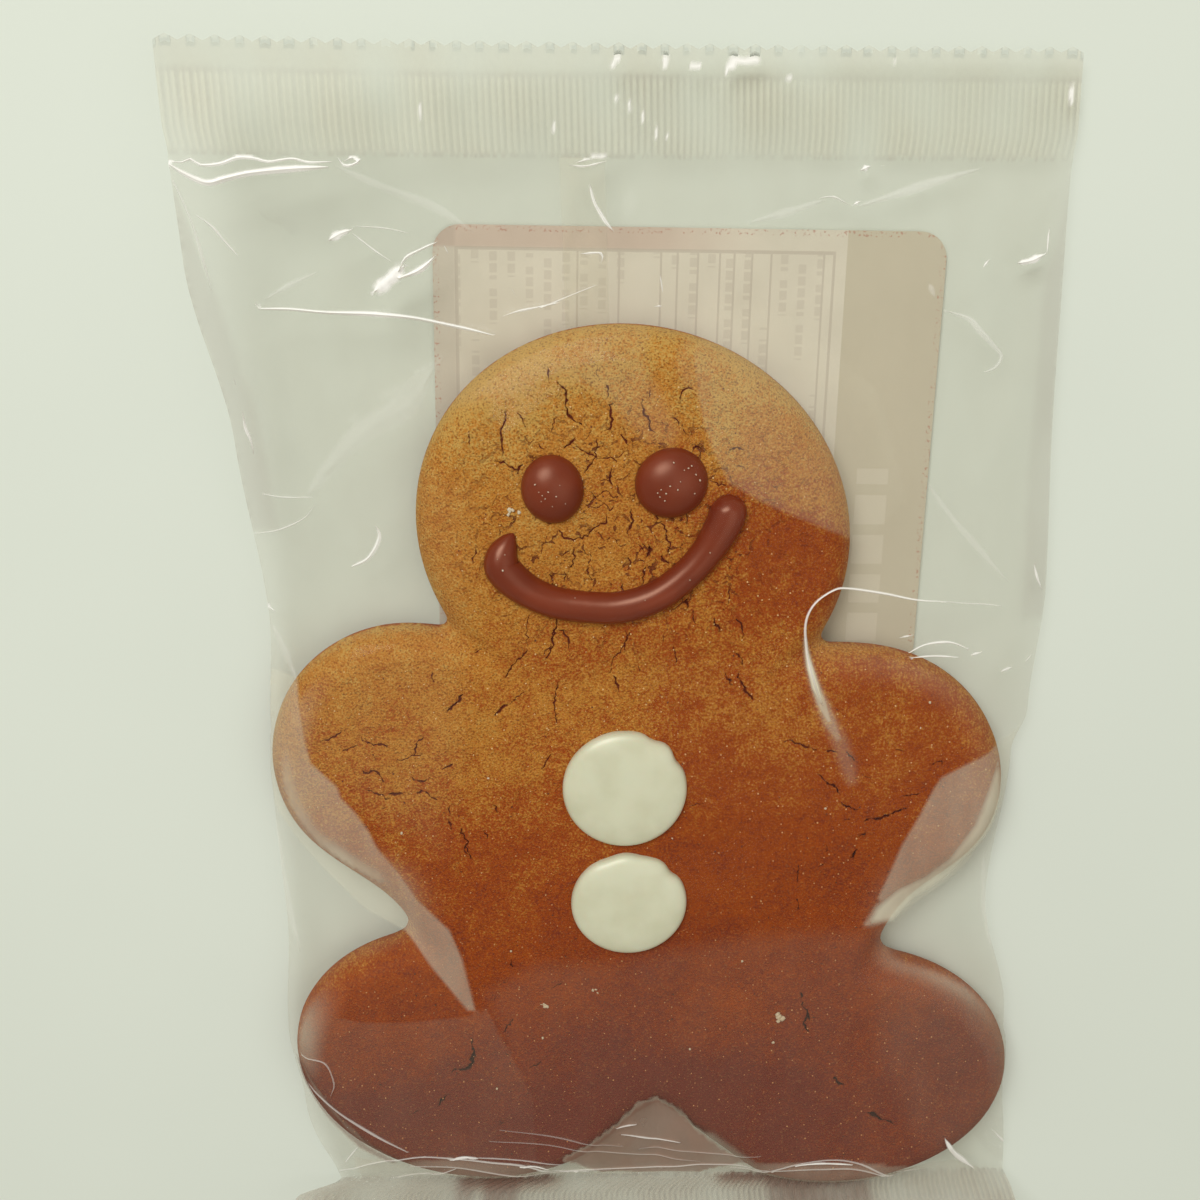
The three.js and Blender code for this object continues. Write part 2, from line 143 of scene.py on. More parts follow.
# Cracks of the baked top: how wide, from 1 for a hair crack, and the points that each runs through.
CRACKS = (
    (2, (-13.1, 52), (-12.7, 49.9)),
    (4, (-11.6, 49.4), (-10.6, 48.5), (-10.4, 47.3), (-10.4, 46), (-9.9, 44.6), (-8.4, 43.3)),
    (1, (-5.9, 51.6), (-6, 50.4), (-5.4, 49.8)), (4, (-4.6, 49.1), (-4.3, 48.3), (-4.4, 47.2)),
    (3, (-3.5, 46.5), (-4.1, 46), (-4, 44.4), (-3.9, 43.4), (-4.6, 42.3)), (1, (1.7, 47.9), (1.7, 47)),
    (4, (0.6, 46.5), (0.7, 44.9), (1.2, 44.1), (1.6, 42.7), (2.1, 41.6)),
    (3, (-19.3, 45.8), (-19.3, 44.7), (-19.8, 43.5), (-20, 42.4), (-19.8, 41.4), (-20, 40.4),
     (-19.7, 39.2)),
    (1, (-17.4, 45.4), (-16.8, 44.4), (-16.6, 43.4)), (2, (4.8, 44), (5.5, 43.6), (5.9, 42.8)),
    (1, (6.2, 42.8), (7, 41.3)), (4, (7.6, 39), (8.3, 39.6), (9, 39.5)),
    (3, (13.4, 38.9), (14.2, 39.3), (15, 38.9)), (3, (-9.5, 41.5), (-9.9, 40.7), (-10.9, 40)),
    (2, (-7.8, 41.4), (-6.8, 42.2)), (2, (-9.2, 40.1), (-8, 39.3), (-7.2, 39.1), (-6.2, 38.4)),
    (2, (-6.2, 41.2), (-6.2, 40), (-6.5, 38.8), (-5.7, 38.2), (-4.7, 38.4), (-3.4, 38)),
    (3, (-6.3, 38.4), (-7.1, 37.7), (-8, 36.3)), (3, (-2.5, 41.5), (-1.9, 40.7), (-1.4, 39.9)),
    (1, (-1.8, 44.4), (-1.6, 43.6)), (1, (-0.3, 43), (-0.2, 41.8)),
    (1, (-3.4, 38.3), (-2.6, 38.7), (-1.6, 39.1)), (4, (-4.4, 36.6), (-4.5, 35.2), (-4.2, 34.4)),
    (2, (-5.8, 35.1), (-4.5, 35.2)),
    (1, (-7.4, 33.3), (-6.6, 32.7), (-5.8, 32.9), (-5, 33.2), (-3.5, 32.4)),
    (1, (-7.5, 31.1), (-6.5, 30.8), (-5.9, 31.3), (-4.9, 31.2), (-4.7, 30.4), (-3.9, 31.2)),
    (2, (-5.3, 29.6), (-5.1, 28.6), (-6, 28.4), (-7.6, 27.3), (-8, 26.7)),
    (3, (-11.9, 27.6), (-11.4, 26.6), (-10.4, 26.3), (-9.2, 26.3), (-8, 26.7)),
    (1, (-9.5, 29), (-7.5, 29.5)), (4, (-1.4, 30.5), (-1.3, 29.3), (-1.6, 27.9), (-1.9, 26.5)),
    (2, (-2.2, 27.3), (-1.6, 27.7)),
    (2, (2.3, 28.6), (3.3, 28.2), (3.7, 27.1), (3.8, 25.9), (4.3, 24.9), (4, 23.6)),
    (2, (2.2, 29.8), (2.5, 28.6)), (2, (6.7, 29.9), (6.7, 28.1)), (6, (1.1, 25), (1.3, 23.9), (0.8, 23.1)),
    (4, (3, 23.1), (3.7, 22.2)), (4, (-2.1, 23), (-1.6, 22.5), (-1.8, 22)), (1, (-0.5, 25.2), (0.3, 24.2)),
    (1, (-4, 26.3), (-3.1, 25.1), (-2.1, 25.3)), (4, (0.5, 21.4), (0.2, 20), (0, 19)),
    (4, (-3, 19.1), (-2.9, 18.1)), (2, (-8.2, 21.8), (-8.1, 20.7)),
    (2, (-10.1, 24.9), (-10.1, 23.7), (-10.5, 22.2)), (2, (-11.4, 21.2), (-11.6, 19.8)),
    (2, (-11.7, 24.1), (-10.8, 24.5)), (2, (-13.8, 20.9), (-13.3, 19.6)),
    (1, (-15, 24.2), (-14.4, 25.8), (-13.9, 26.6)), (1, (3.6, 21.2), (4.4, 20.7)),
    (6, (6.6, 16.5), (6.7, 14.8)), (4, (7.5, 14.4), (7.8, 12.7)), (3, (10.6, 13), (11.6, 11.3)),
    (2, (13, 18), (13, 15.7)), (3, (14.2, 13.1), (15, 12), (15.2, 10.1)),
    (3, (-13.2, 14), (-13.2, 12.9), (-13.7, 11.2), (-14, 9.1), (-14.7, 7.8)),
    (4, (-12.5, 12.3), (-11.5, 10.9), (-11.2, 9.4)), (1, (-17, 14.7), (-17.5, 12.6), (-17.7, 9.6)),
    (2, (-2, 11.5), (-2.6, 10), (-2.9, 8.5)), (3, (-25.2, 23.3), (-24.5, 24.9), (-24.6, 25.3)),
    (1, (-21, 28.1), (-21, 27.1)), (3, (-17.8, 36.6), (-17.2, 37.6)),
    (2, (-21.1, 38.3), (-19.9, 38.1), (-19, 37.6), (-17.8, 37)), (1, (-24.7, 42.5), (-24.7, 40.8)),
    (2, (5.9, 46.2), (6.5, 47.8), (7.8, 48.1)), (1, (-3.7, 53), (-3.8, 52.4)),
    (2, (10.3, 34.6), (11.2, 33.9), (12.6, 33.5)), (1, (-12.7, 42.4), (-12.1, 44.5)),
    (1, (-14.7, 40.7), (-13.8, 40)),
    (3, (-17.8, 9.1), (-18.5, 8), (-19.6, 7.2), (-20.7, 5.9), (-21.3, 4.8)),
    (1, (-13.3, 12.9), (-13.8, 11.2), (-14, 9.6), (-15.3, 8.4)), (1, (-25.7, 8.5), (-24.9, 9.1)),
    (1, (-2.6, 11.7), (-2.4, 10.4), (-3.7, 8.4), (-4.8, 6.9), (-5.1, 5.2)),
    (3, (-4.6, 4.5), (-4.2, 3.4), (-4.2, 2)), (1, (-1, 6.4), (-0.7, 5.5)),
    (3, (13.8, 7.7), (14.4, 7.4), (15.3, 6.1)), (3, (12.5, 4.2), (13.4, 2.6)),
    (4, (14.2, 4.1), (14.9, 3), (15.5, 1.6), (16.5, 0)), (1, (4.7, 8.8), (5, 6.2)),
    (1, (3.2, 11.1), (2.9, 9.8)), (4, (-23.1, -1.4), (-22.2, -0.3), (-21.1, 0.3)),
    (1, (-20.5, 0.3), (-20, 1.2), (-18.5, 2.3)),
    (2, (-13, 3.7), (-13.7, 1.9), (-13.8, -1.5), (-13.5, -3.1)), (2, (-14.9, -8.1), (-16.1, -10.6)),
    (2, (-24.1, -16.4), (-23.6, -17.6)), (1, (-28.8, -23.1), (-28.3, -25.5)),
    (1, (-25.8, -20.8), (-25.2, -22)), (3, (21.7, -6.9), (23.2, -7.4), (25.3, -8.1)),
    (2, (32.8, -27.5), (33.4, -26.1)), (1, (24.1, -28.9), (24, -31.6)), (3, (24.1, -34.8), (24.3, -36.1)),
    (1, (6.9, -17.6), (9.1, -17.2)), (2, (-22.6, -44.2), (-22.4, -45.5)),
    (1, (-15.9, -49.6), (-14.5, -48.9)), (2, (-50.2, -4.7), (-48.8, -4.3), (-47.7, -3.8), (-47, -3.4)),
    (3, (-44.1, -4.6), (-43.5, -5), (-42.6, -5.4), (-41.7, -5.7), (-40.2, -5.7)),
    (5, (-41.5, -5.7), (-40.2, -5.7)), (1, (-42.4, -4.8), (-41.3, -4.5)),
    (2, (-47.1, -6.7), (-46.4, -6.4), (-44.6, -5.9)), (3, (-42.2, -7.3), (-42, -8)),
    (4, (-44.3, -10), (-43.7, -10.4), (-42.5, -10), (-41.5, -10.8), (-41.2, -11.7)),
    (4, (-40.4, -13.9), (-38.8, -14.2), (-38, -14.3)),
    (2, (-43.9, -13.4), (-42.8, -13.7), (-41.2, -14.5), (-40.6, -15)),
    (3, (-36, -14.1), (-34.9, -13.8), (-34.2, -14.3), (-33, -15.2)),
    (3, (-36, -7.6), (-35.8, -6.6), (-35.2, -5.5), (-34.5, -4.6)),
    (2, (-38.6, -8.3), (-36.8, -7.9), (-36, -7.6), (-34.7, -7.6)), (1, (-33.2, -3.5), (-32.2, -3.5)),
    (5, (-30.2, -0.4), (-29.5, 0.3), (-28.6, 1.1), (-27.9, 2.1)), (2, (-32.3, 6.2), (-32.3, 4.7)),
    (3, (-31.6, -9.9), (-30.7, -9.5), (-30, -9.1)), (3, (-36.7, -11.5), (-35.6, -12), (-34.3, -11.9)),
    (3, (-31, -16.5), (-31.1, -17.7)), (3, (-31.3, -18.9), (-31.1, -20.4)),
    (2, (-29.6, -20.7), (-29.1, -21.7), (-28.6, -22.7), (-29, -24.1), (-28.2, -25.5)),
    (2, (-41.4, -16.6), (-41.1, -16.3)), (1, (-35.6, -0.1), (-35.2, 0)),
    (4, (24.1, -7.8), (25.4, -8.3), (26.6, -8.8)), (4, (28.1, -8.7), (30, -9.2)),
    (4, (31.4, -9.5), (32.5, -10.4)), (3, (27.1, -12.9), (28.2, -14.1), (29.6, -15), (30.6, -16.2)),
    (2, (30.5, -17.7), (31.3, -18.4), (33.3, -19)),
    (4, (34.4, -21), (35.8, -20.8), (37.4, -20.7), (39.3, -19.7), (40.9, -19.1)),
    (2, (40.6, -17), (43, -16.8)), (3, (45, -11.4), (45.9, -11.2), (46.5, -11.6)),
    (1, (32.6, -13.5), (33.4, -13.5)), (2, (34.5, -13.6), (35.2, -13.6)), (3, (33.8, -23.9), (34.8, -23.1)),
    (3, (32.5, -27.6), (32.9, -26.9), (33.3, -26.3)), (2, (39.2, -9), (40, -9.1)),
    (1, (28.5, -26), (28.7, -25.1)), (1, (27.4, -28.9), (28.2, -28.4)), (2, (31.2, -20.6), (31.8, -20.7)),
    (6, (-33.6, -65.2), (-32.6, -64.6), (-30.5, -64.3), (-29.8, -62), (-29.8, -59.2)),
    (6, (-36.2, -71.4), (-35.1, -70.2), (-34.5, -69.5)), (1, (-41.2, -73.4), (-39.6, -72.5)),
    (1, (-20.4, -64.7), (-18.7, -63.8)), (1, (-24.9, -58), (-22.8, -55.3)),
    (3, (25, -53.7), (25.9, -56), (25.5, -57.9), (26.3, -59.1)),
    (9, (30.6, -68.6), (31.2, -69.3), (32, -69.9)), (9, (36.8, -75.7), (37.6, -76.3), (38.6, -77.1)),
    (3, (38.6, -77.1), (40, -77.3), (41, -78)), (4, (24.8, -51.8), (25, -52.9)),
    (5, (25.9, -55.9), (26.3, -57)), (2, (-26.2, -75.9), (-25.4, -75.4)),
)

# Folds of the film: height, width, how bright the painted glint along it is, and the points that each runs
# through.
FOLDS = (
    (0.3, 0.55, 1, (-63, 81.1), (-60.9, 80.9), (-59.8, 81.3), (-58.6, 80.5), (-56, 80.6), (-53.8, 81.3),
     (-51.7, 81.2), (-49.8, 80.7), (-48, 80.9), (-46.4, 81), (-44.4, 80.5), (-41.4, 80.5)),
    (0.5, 1.15, 1, (-62.7, 80.8), (-60.7, 79.4), (-58.1, 78.2), (-55.5, 78.7), (-52.3, 79.3), (-46.9, 79.7),
     (-41.9, 79.8)),
    (0.4, 0.5, 1, (-40.5, 81), (-39.8, 80), (-38.6, 80), (-37.6, 80.6), (-38.5, 81), (-39.7, 80.5)),
    (0.4, 0.4, 0.8, (-59.8, 74), (-58, 72.4), (-56.8, 70.6), (-55.2, 68.5)),
    (0.4, 0.5, 0.35, (-62.5, 78.9), (-61.5, 76.2), (-60.4, 72.3), (-59.7, 67.6), (-59.1, 64)),
    (0.5, 1.3, 0.9, (-42.7, 70.1), (-40.9, 71), (-39.5, 71.4)),
    (0.3, 0.3, 0.75, (-39.3, 70.9), (-36.5, 68.6), (-34.4, 67.1)),
    (0.3, 0.3, 0.45, (-38.8, 71.9), (-34.8, 71.5), (-31.8, 70.8)),
    (0.5, 2.3, 1, (-37, 62.9), (-35.2, 64.1), (-32.5, 66.3)),
    (0.5, 0.55, 0.9, (-33.1, 65.9), (-32.2, 67.4), (-30, 68.5), (-27.8, 69.4)),
    (0.5, 0.9, 1, (-33.2, 64.7), (-30.6, 65.6), (-29, 66.7), (-28.2, 67.5)),
    (0.3, 0.9, 1, (-26.7, 68.7), (-26.5, 68.2)),
    (0.6, 0.75, 1, (-53.4, 61.8), (-53, 61.2), (-48.7, 60.9), (-44, 60.3), (-37.3, 59.8), (-31.5, 59.1),
     (-25.4, 57.6), (-20.5, 56.4)),
    (0.3, 0.8, 0.15, (-52.1, 62.4), (-48.5, 64.2), (-44.6, 65.9)),
    (0.3, 0.4, 0.75, (-18.9, 59), (-16.8, 59.6), (-14.4, 60), (-11, 60.6)),
    (0.3, 0.4, 0.7, (-17.6, 62.7), (-17.2, 62)),
    (0.3, 0.5, 0.7, (-57.7, 51.1), (-57.6, 50.5)),
    (0.4, 0.5, 0.85, (-57.2, 46.5), (-57.1, 44.1), (-56.6, 42.3), (-56.4, 40.5)),
    (0.3, 0.3, 0.45, (-55.6, 34), (-53.1, 33.5), (-48.7, 33.3)),
    (0.3, 0.35, 0.4, (-57.7, 27.9), (-54.2, 28.4), (-50.4, 30), (-48.4, 32.1)),
    (0.4, 0.8, 0.7, (-39.4, 28.8), (-39, 27.2), (-40, 25.1), (-41.4, 23.6), (-43.7, 22.5)),
    (0.7, 4, 0.09, (-49.1, 33.9), (-41.2, 42.3), (-33.2, 46.8), (-29.6, 51.4)),
    (0.5, 3, 0.06, (-46.2, 37.1), (-38.5, 44.4), (-27.8, 53.3)),
    (0.5, 1.6, 0.12, (-40.6, 79.7), (-33.8, 76.6), (-28.2, 74.3), (-23, 70.9)),
    (0.3, 0.7, 0.95, (-2.8, 91.9), (-1.9, 92.9), (-0.9, 93.9)),
    (0.3, 0.9, 0.9, (4.5, 91.4), (4.8, 92.3), (4.9, 93.4)),
    (0.3, 0.9, 0.95, (7.7, 93.4), (9.8, 93.7), (11.7, 93.1)),
    (0.3, 0.8, 0.9, (8.2, 91.7), (9.9, 91.9)),
    (0.3, 1.5, 1, (13.2, 90.9), (14.5, 92.3), (16.7, 92.6), (19.6, 93.2)),
    (0.2, 0.5, 0.9, (34.1, 92.2), (35.5, 92.5), (36.7, 91.9), (38, 92.3)),
    (0.2, 0.5, 0.9, (41.2, 92.8), (44, 92.3), (45.9, 92.8), (46.9, 93)),
    (0.2, 0.5, 0.8, (-56.8, 97), (-54.8, 97.6)),
    (0.2, 0.5, 0.9, (-51.2, 97.6), (-50.3, 97.2), (-49, 97.7)),
    (0.2, 0.5, 0.9, (-48.7, 97.6), (-47.5, 97.1)),
    (0.2, 0.6, 0.7, (-58.8, 95.8), (-57.4, 95.8)),
    (0.2, 0.6, 0.8, (-54, 94.2), (-53.8, 94.2)),
    (0.2, 0.5, 0.7, (21.4, 90.1), (22.8, 89.6)),
    (0.2, 0.5, 0.7, (24.7, 90.1), (25.9, 90.1)),
    (0.1, 0.4, 0.7, (-2.1, 88.5), (-2, 86.8)),
    (0.1, 0.4, 0.8, (-0.3, 87.1), (-0.1, 86.1)),
    (0.1, 0.4, 0.8, (1.5, 85.8), (1.6, 84.4)),
    (0.1, 0.4, 0.8, (3.4, 84.1), (3.3, 82.2)),
    (0.1, 0.4, 0.8, (5, 83.1), (5, 81.8)),
    (0.1, 0.4, 0.7, (-10.8, 85), (-11, 83.3)),
    (0.1, 0.4, 0.8, (-29, 88), (-29.2, 85.4)),
    (0.1, 0.6, 0.85, (61.6, 88.2), (61.7, 85.2)),
    (0.3, 0.4, 0.75, (-8.8, 79.2), (-6.6, 79), (-3.7, 79.6)),
    (0.3, 0.4, 0.8, (-7.9, 79.5), (-5, 80.2), (-2.7, 80.3)),
    (0.4, 0.65, 0.85, (-6.1, 76.5), (-5.6, 74.3), (-4.9, 72.9), (-4, 71.4), (-3, 70.2)),
    (0.4, 1, 1, (32.3, 77.4), (33.6, 77.9)),
    (0.2, 0.5, 0.9, (35.2, 77.9), (35.6, 77.9)),
    (0.4, 0.35, 0.65, (26.5, 73.8), (28.4, 73.9), (30.3, 72.9)),
    (0.3, 0.5, 1, (31.2, 72.7), (32.2, 73.2)),
    (0.5, 1.4, 0.15, (16.6, 70.8), (22.2, 72.1), (26.8, 73.4)),
    (0.5, 1.5, 0.2, (31.9, 72.5), (37.5, 74), (43.1, 75.6), (49.2, 77.1)),
    (0.3, 0.35, 0.85, (59.6, 68.6), (59.5, 65.5)),
    (0.5, 1.2, 1, (55.2, 64), (57.2, 64.3), (59.1, 65.1)),
    (0.3, 0.5, 0.75, (50, 63.6), (50.8, 64.6)),
    (0.4, 1, 0.28, (45, 57.6), (48.4, 56.3), (49.7, 54.9), (52, 52.6), (53.5, 50.8), (52.7, 49.2),
     (51.2, 48.6)),
    (0.3, 1, 0.2, (42.2, 61.6), (43.1, 59.6)),
    (0.3, 0.4, 0.8, (-7.6, 67.2), (-4.8, 67.2), (-4.7, 66.1)),
    (0.3, 0.3, 0.65, (3.5, 63.9), (3.8, 61.6)),
    (0.3, 0.35, 0.7, (2.7, 59.7), (3.7, 59.7)),
    (0.3, 0.35, 0.5, (-13.7, 59.9), (-9.1, 61.6), (-5.5, 62.9)),
    (0.45, 0.3, 0.35, (55.2, 12.8), (50.6, 13.5), (45.5, 14.3)),
    (0.5, 0.5, 0.85, (46.3, 14.2), (40.8, 15), (36.4, 16.1), (31.2, 17.2), (28.9, 17.2), (26.4, 15.9),
     (25, 14), (24.5, 11.6), (24.8, 8.4), (25.3, 5.4), (26.3, 1.7), (27.3, -0.9)),
    (0.4, 0.45, 0.85, (40.7, 6.6), (43.4, 7.7), (47.1, 7.7), (50, 6.5)),
    (0.4, 0.4, 0.8, (41.4, 5.8), (44.7, 5.8), (48.4, 5.3)),
    (0.3, 0.7, 0.7, (50.7, 5.4), (52.1, 5.7)),
    (0.3, 0.45, 0.7, (39.5, 9), (41, 9.2)),
    (0.3, 0.8, 0.5, (55.7, 2.3), (57.5, 2.7)),
    (0.3, 0.8, 0.5, (60.1, 3.4), (60.7, 4)),
    (0.3, 0.5, 0.85, (60.3, 19.1), (61, 16.8), (61.8, 15.1)),
    (0.3, 1.2, 0.12, (42.9, 32.6), (47.2, 26.8), (56.1, 16.6)),
    (0.3, 0.4, 0.7, (-57.5, 16), (-56.6, 15.4)),
    (0.3, 0.5, 0.4, (-56, -89.7), (-48.9, -84.9), (-41.7, -81.7), (-34.9, -81.9), (-28.1, -83),
     (-21.3, -84.3), (-15.3, -88.2), (-7.6, -89.5), (3, -89.9), (16.7, -86.8)),
    (0.3, 0.45, 0.35, (13.5, -89.1), (25.4, -85.1), (35, -85.4), (45.7, -92.5), (57, -96.3), (66.5, -99.6)),
    (0.3, 0.35, 0.28, (-41.9, -83.6), (-32.9, -84), (-18.1, -88.2), (-7.6, -90)),
    (0.3, 0.35, 0.28, (17.3, -86.7), (28.5, -86.4), (37.2, -87.4), (49, -94.7), (57.7, -97.2),
     (65.8, -99.6)),
    (0.3, 0.5, 0.75, (-34.9, -82.1), (-32.8, -81.8), (-30.1, -81.9)),
    (0.3, 0.4, 0.7, (-23, -84), (-20.6, -84.1), (-18.3, -85.2)),
    (0.3, 0.5, 0.75, (24.2, -85.4), (28.8, -85.2), (34, -85.6)),
    (0.3, 0.4, 0.6, (-16.3, -87.6), (-11.2, -90.4)),
    (0.3, 0.35, 0.35, (-31.5, -81.8), (-22.9, -82.7), (-16.1, -84.2)),
    (0.3, 0.5, 0.55, (-6.2, -77.4), (-2.9, -77.3)),
    (0.3, 0.45, 0.55, (-5.5, -79.2), (-0.4, -81.1), (4.6, -82.1)),
    (0.2, 0.35, 0.2, (-27.9, -78.7), (-16, -80.3), (-2.3, -85.6), (8.2, -87.8)),
    (0.2, 0.35, 0.18, (-26.1, -76.5), (-15.9, -78.5), (-5.7, -82.3)),
    (0.2, 0.3, 0.18, (-2.3, -83.7), (8.1, -84.6), (18.2, -83.4)),
    (0.4, 1.3, 0.95, (49.8, -81), (52.6, -86.4), (57.2, -93)),
    (0.3, 0.5, 0.6, (59.2, -82.8), (63, -88.7), (64.6, -92.3)),
    (0.4, 0.6, 0.4, (-57.9, -67), (-53.1, -72.1), (-46.8, -77.2), (-42.1, -80.2)),
    (0.3, 0.35, 0.35, (-58.6, -61.5), (-54.7, -62.3), (-53.4, -66.3), (-54.1, -68.6)),
    (0.3, 0.4, 0.5, (-50.8, -80.4), (-53.9, -86)),
    (0.3, 0.35, 0.4, (-49.3, -94.2), (-40.7, -87.8), (-34, -84)),
    (0.2, 1, 0.7, (-25.3, -95.1), (-22.9, -96.9)),
    (0.4, 1.6, 0.1, (55, -29.7), (55.9, -38.8), (57.3, -47.4)),
    (0.4, 1.6, 0.1, (-60, -20.5), (-59.4, -34.9), (-58, -43.8)),
    (0.4, 1.6, 0.1, (-57.2, 13), (-55.4, 9), (-53.7, 4.7)),
)

# Veils of painted reflection, where the film mirrors the pale room and looks milky: strength,
# softness of the rim and the corners round each.
VEIL_REFLECTIONS = (
    (0.075, 0.35, (7.8, 52.7), (8.4, 47.4), (9.1, 43.5), (10.4, 39.6), (12.6, 34.8), (18.1, 31.4),
     (22.8, 29.1), (28, 26.5), (33.6, 23.7), (39.7, 30.8), (35.2, 46.6), (21.7, 58.3), (10.4, 59.4)),
    (0.045, 1.2, (-31.2, 42.1), (-27, 46.3), (-22.7, 47.2), (-18, 48), (-15.5, 49.1), (-12.9, 50.5),
     (-9.7, 49.8), (-6.9, 49.1), (-4.1, 47), (-1.7, 43.7), (1.1, 41.1), (4.4, 40.6), (5.5, 42.4),
     (3.7, 46.4), (1.6, 50), (0.8, 52.9), (1.8, 60), (-17.8, 61.6), (-33.5, 51.7)),
    (0.04, 0.8, (5.4, 52), (8.8, 60), (14.5, 57.1), (22, 49), (14.5, 47.2), (9.5, 47.2), (6.3, 49)),
    (0.75, 0.3, (24.5, 9.7), (24.7, 7.2), (25, 4.9), (25.7, 1.8), (27, -0.8), (27.4, -0.7), (26.7, 2.1),
     (25.8, 5.1), (25.2, 7.3), (24.7, 9.7)),
    (0.4, 0.4, (24.4, 9.7), (24.6, 7.2), (24.9, 4.9), (25.6, 1.7), (26.5, -1), (28.2, -4.1), (28.8, -3.8),
     (27.9, -0.5), (26.9, 2.1), (25.9, 5.1), (25.3, 7.3), (24.7, 9.7)),
    (0.2, 0.5, (24.5, 7.2), (24.8, 4.9), (25.5, 1.7), (26.4, -1.1), (27.6, -4.3), (29.7, -7.3),
     (30.5, -6.9), (29.4, -3.5), (28.1, -0.4), (27, 2.1), (26, 5.1), (25.3, 7.3)),
    (0.08, 0.8, (24.8, 4.9), (25.4, 1.7), (26.2, -1.1), (27.5, -4.4), (29, -7.6), (30.3, -11.4),
     (31.7, -14.6), (32.9, -14.3), (32.6, -10.7), (31.2, -6.6), (29.6, -3.4), (28.2, -0.4), (27.1, 2.2),
     (26.1, 5.2)),
    (0.21, 0.35, (-53.6, 5.2), (-52.9, -0.2), (-52.6, -5), (-52.1, -8.2), (-48.4, -12.4), (-47.9, -14.3),
     (-45.9, -16.9), (-44.1, -20.1), (-42.9, -23.1), (-39.6, -27.8), (-37.2, -32.5), (-32.4, -38.1),
     (-30.6, -43.7), (-29, -53.1), (-30.2, -53.1), (-35.9, -44.4), (-39.6, -38.8), (-46, -35), (-52, -28),
     (-64, -12), (-62, 6)),
    (0.2, 0.35, (54.9, -9.6), (51.1, -11.2), (46.3, -13.8), (45.3, -15.4), (43.3, -19.8), (40.5, -25.3),
     (38.7, -30.1), (36.9, -34.6), (39.5, -39.6), (51, -31), (58.5, -20), (60, -8)),
    (0.042, 0.35, (-29, -53.1), (-27, -53), (-20, -70), (-20, -100), (-70, -100), (-70, -50),
     (-55.1, -50.7), (-53.3, -53.2), (-47.8, -54.8), (-39.9, -55), (-30.2, -54.2)),
    (0.029, 2.5, (-27, -50), (-17.9, -44.5), (-4.9, -43.6), (1.7, -42), (18, -40.7), (37.5, -40.5),
     (72, -40), (72, -100), (-20, -100), (-22, -70)),
    (0.46, 1, (35.3, -39.3), (36.7, -36.4), (40.2, -33.2), (44.3, -31.3), (48, -28.1), (49.9, -25.1),
     (51.8, -22.2), (53.2, -17.9), (54.3, -14.4), (55.6, -11.7), (56.4, -14.9), (56.9, -20.9),
     (55.5, -24.8), (52, -28.4), (48.6, -32.1), (43.1, -35.8), (39.8, -39.4)),
    (0.012, 0.8, (-57, -52), (-55, -42), (-42, -38), (-38, -40), (-31, -50), (-29, -53), (-30.2, -54.2),
     (-39.9, -55), (-47.8, -54.8), (-53.3, -53.2)),
    (0.016, 4, (-52.9, 7.8), (-42, 12), (-34, 30), (-33, 38), (-26, 34), (-28, 12), (-29.7, -8.4),
     (-33, -23.8), (-46.5, -14.6), (-55, -4.3)),
    (0.05, 7, (34, -48), (70, -42), (72, -78), (46, -88), (36, -66)),
)

# Places where the film mirrors the cookie's brown: strength, how brown, softness and corners.
SMOKE = (
    (0.6, 0.9, 0.3, (0.6, -71.5), (3.9, -73.6), (7.3, -78), (11.4, -82.3), (16.4, -85.3), (8.4, -92.5),
     (-0.5, -92.1), (-9.4, -91.3), (-15.6, -82.9), (-11.2, -80.5), (-5.6, -76.1), (-2.3, -72.2)),
    (0.3, 0.4, 1.2, (-8, -79), (10, -79), (24, -91), (-21, -91)),
    (0.22, 0.35, 0.4, (-52, -83.7), (-44.8, -82.9), (-34.8, -81.8), (-28, -82.9), (-21.3, -83.9),
     (-15.1, -84.8), (-7.6, -84.6), (2.7, -84.6), (16.4, -85.3), (25.3, -85), (34.9, -85.3), (43.9, -86.9),
     (54.3, -89.3), (60, -95), (-52, -95)),
    (0.5, 1, 1.4, (-36.7, -84), (-29.9, -84.9), (-19.6, -85.6), (-19.7, -86.5), (-36.8, -85.4)),
    (0.5, 1, 1.4, (19.6, -86.6), (25.1, -87.2), (35.4, -88), (35.8, -88.8), (20.3, -87.9)),
    (0.42, 1, 0.5, (-60.5, -63.4), (-59.6, -68.7), (-55.7, -74.8), (-50.6, -80.8), (-45, -84.5),
     (-43.8, -83.1), (-48.8, -79.2), (-53.5, -72.9), (-57.1, -66.7), (-58.9, -62.7)),
    (0.1, 1, 1.2, (-62.5, 79), (-58, 62), (-55, 46), (-54, 28), (-62, 28), (-64, 60), (-64, 79)),
    (0.08, 1, 1.2, (62.5, 76), (59, 60), (58.5, 40), (58.5, 10), (63, 10), (64, 60), (64, 76)),
)
# Stretches of the foot seal that show darker with a painted brown reflection of the cookie, from x to x.
FOOT_PATCHES = ((-35, -32), (-30, -24), (20, 38))
# Stretches of its root that mirror the feet, from x to x.
FOOT_MIRRORED = ((-34, -17), (11, 35))

# Rims of the cookie where the film shows a pale painted reflection, laid over the shade of the
# rounded edge: centre, reach, strength, width and how far outside the outline each ends.
RIM_REFLECTIONS = (
    (57, -62, 19, 0.09, 4.5, 0.0),
    (50, -51, 13, 0.16, 1.5, 0.5),
    (50, -28, 12, 0.3, 2.9, -0.8),
    (-59, -14, 14, 0.34, 2.8, -2.0),
    (-49, -30, 9, 0.42, 2.6, -2.0),
    (-62, -57, 8, 0.34, 4.0, -0.6),
    (41, 2, 12, 0.06, 2.4, -0.4),
)

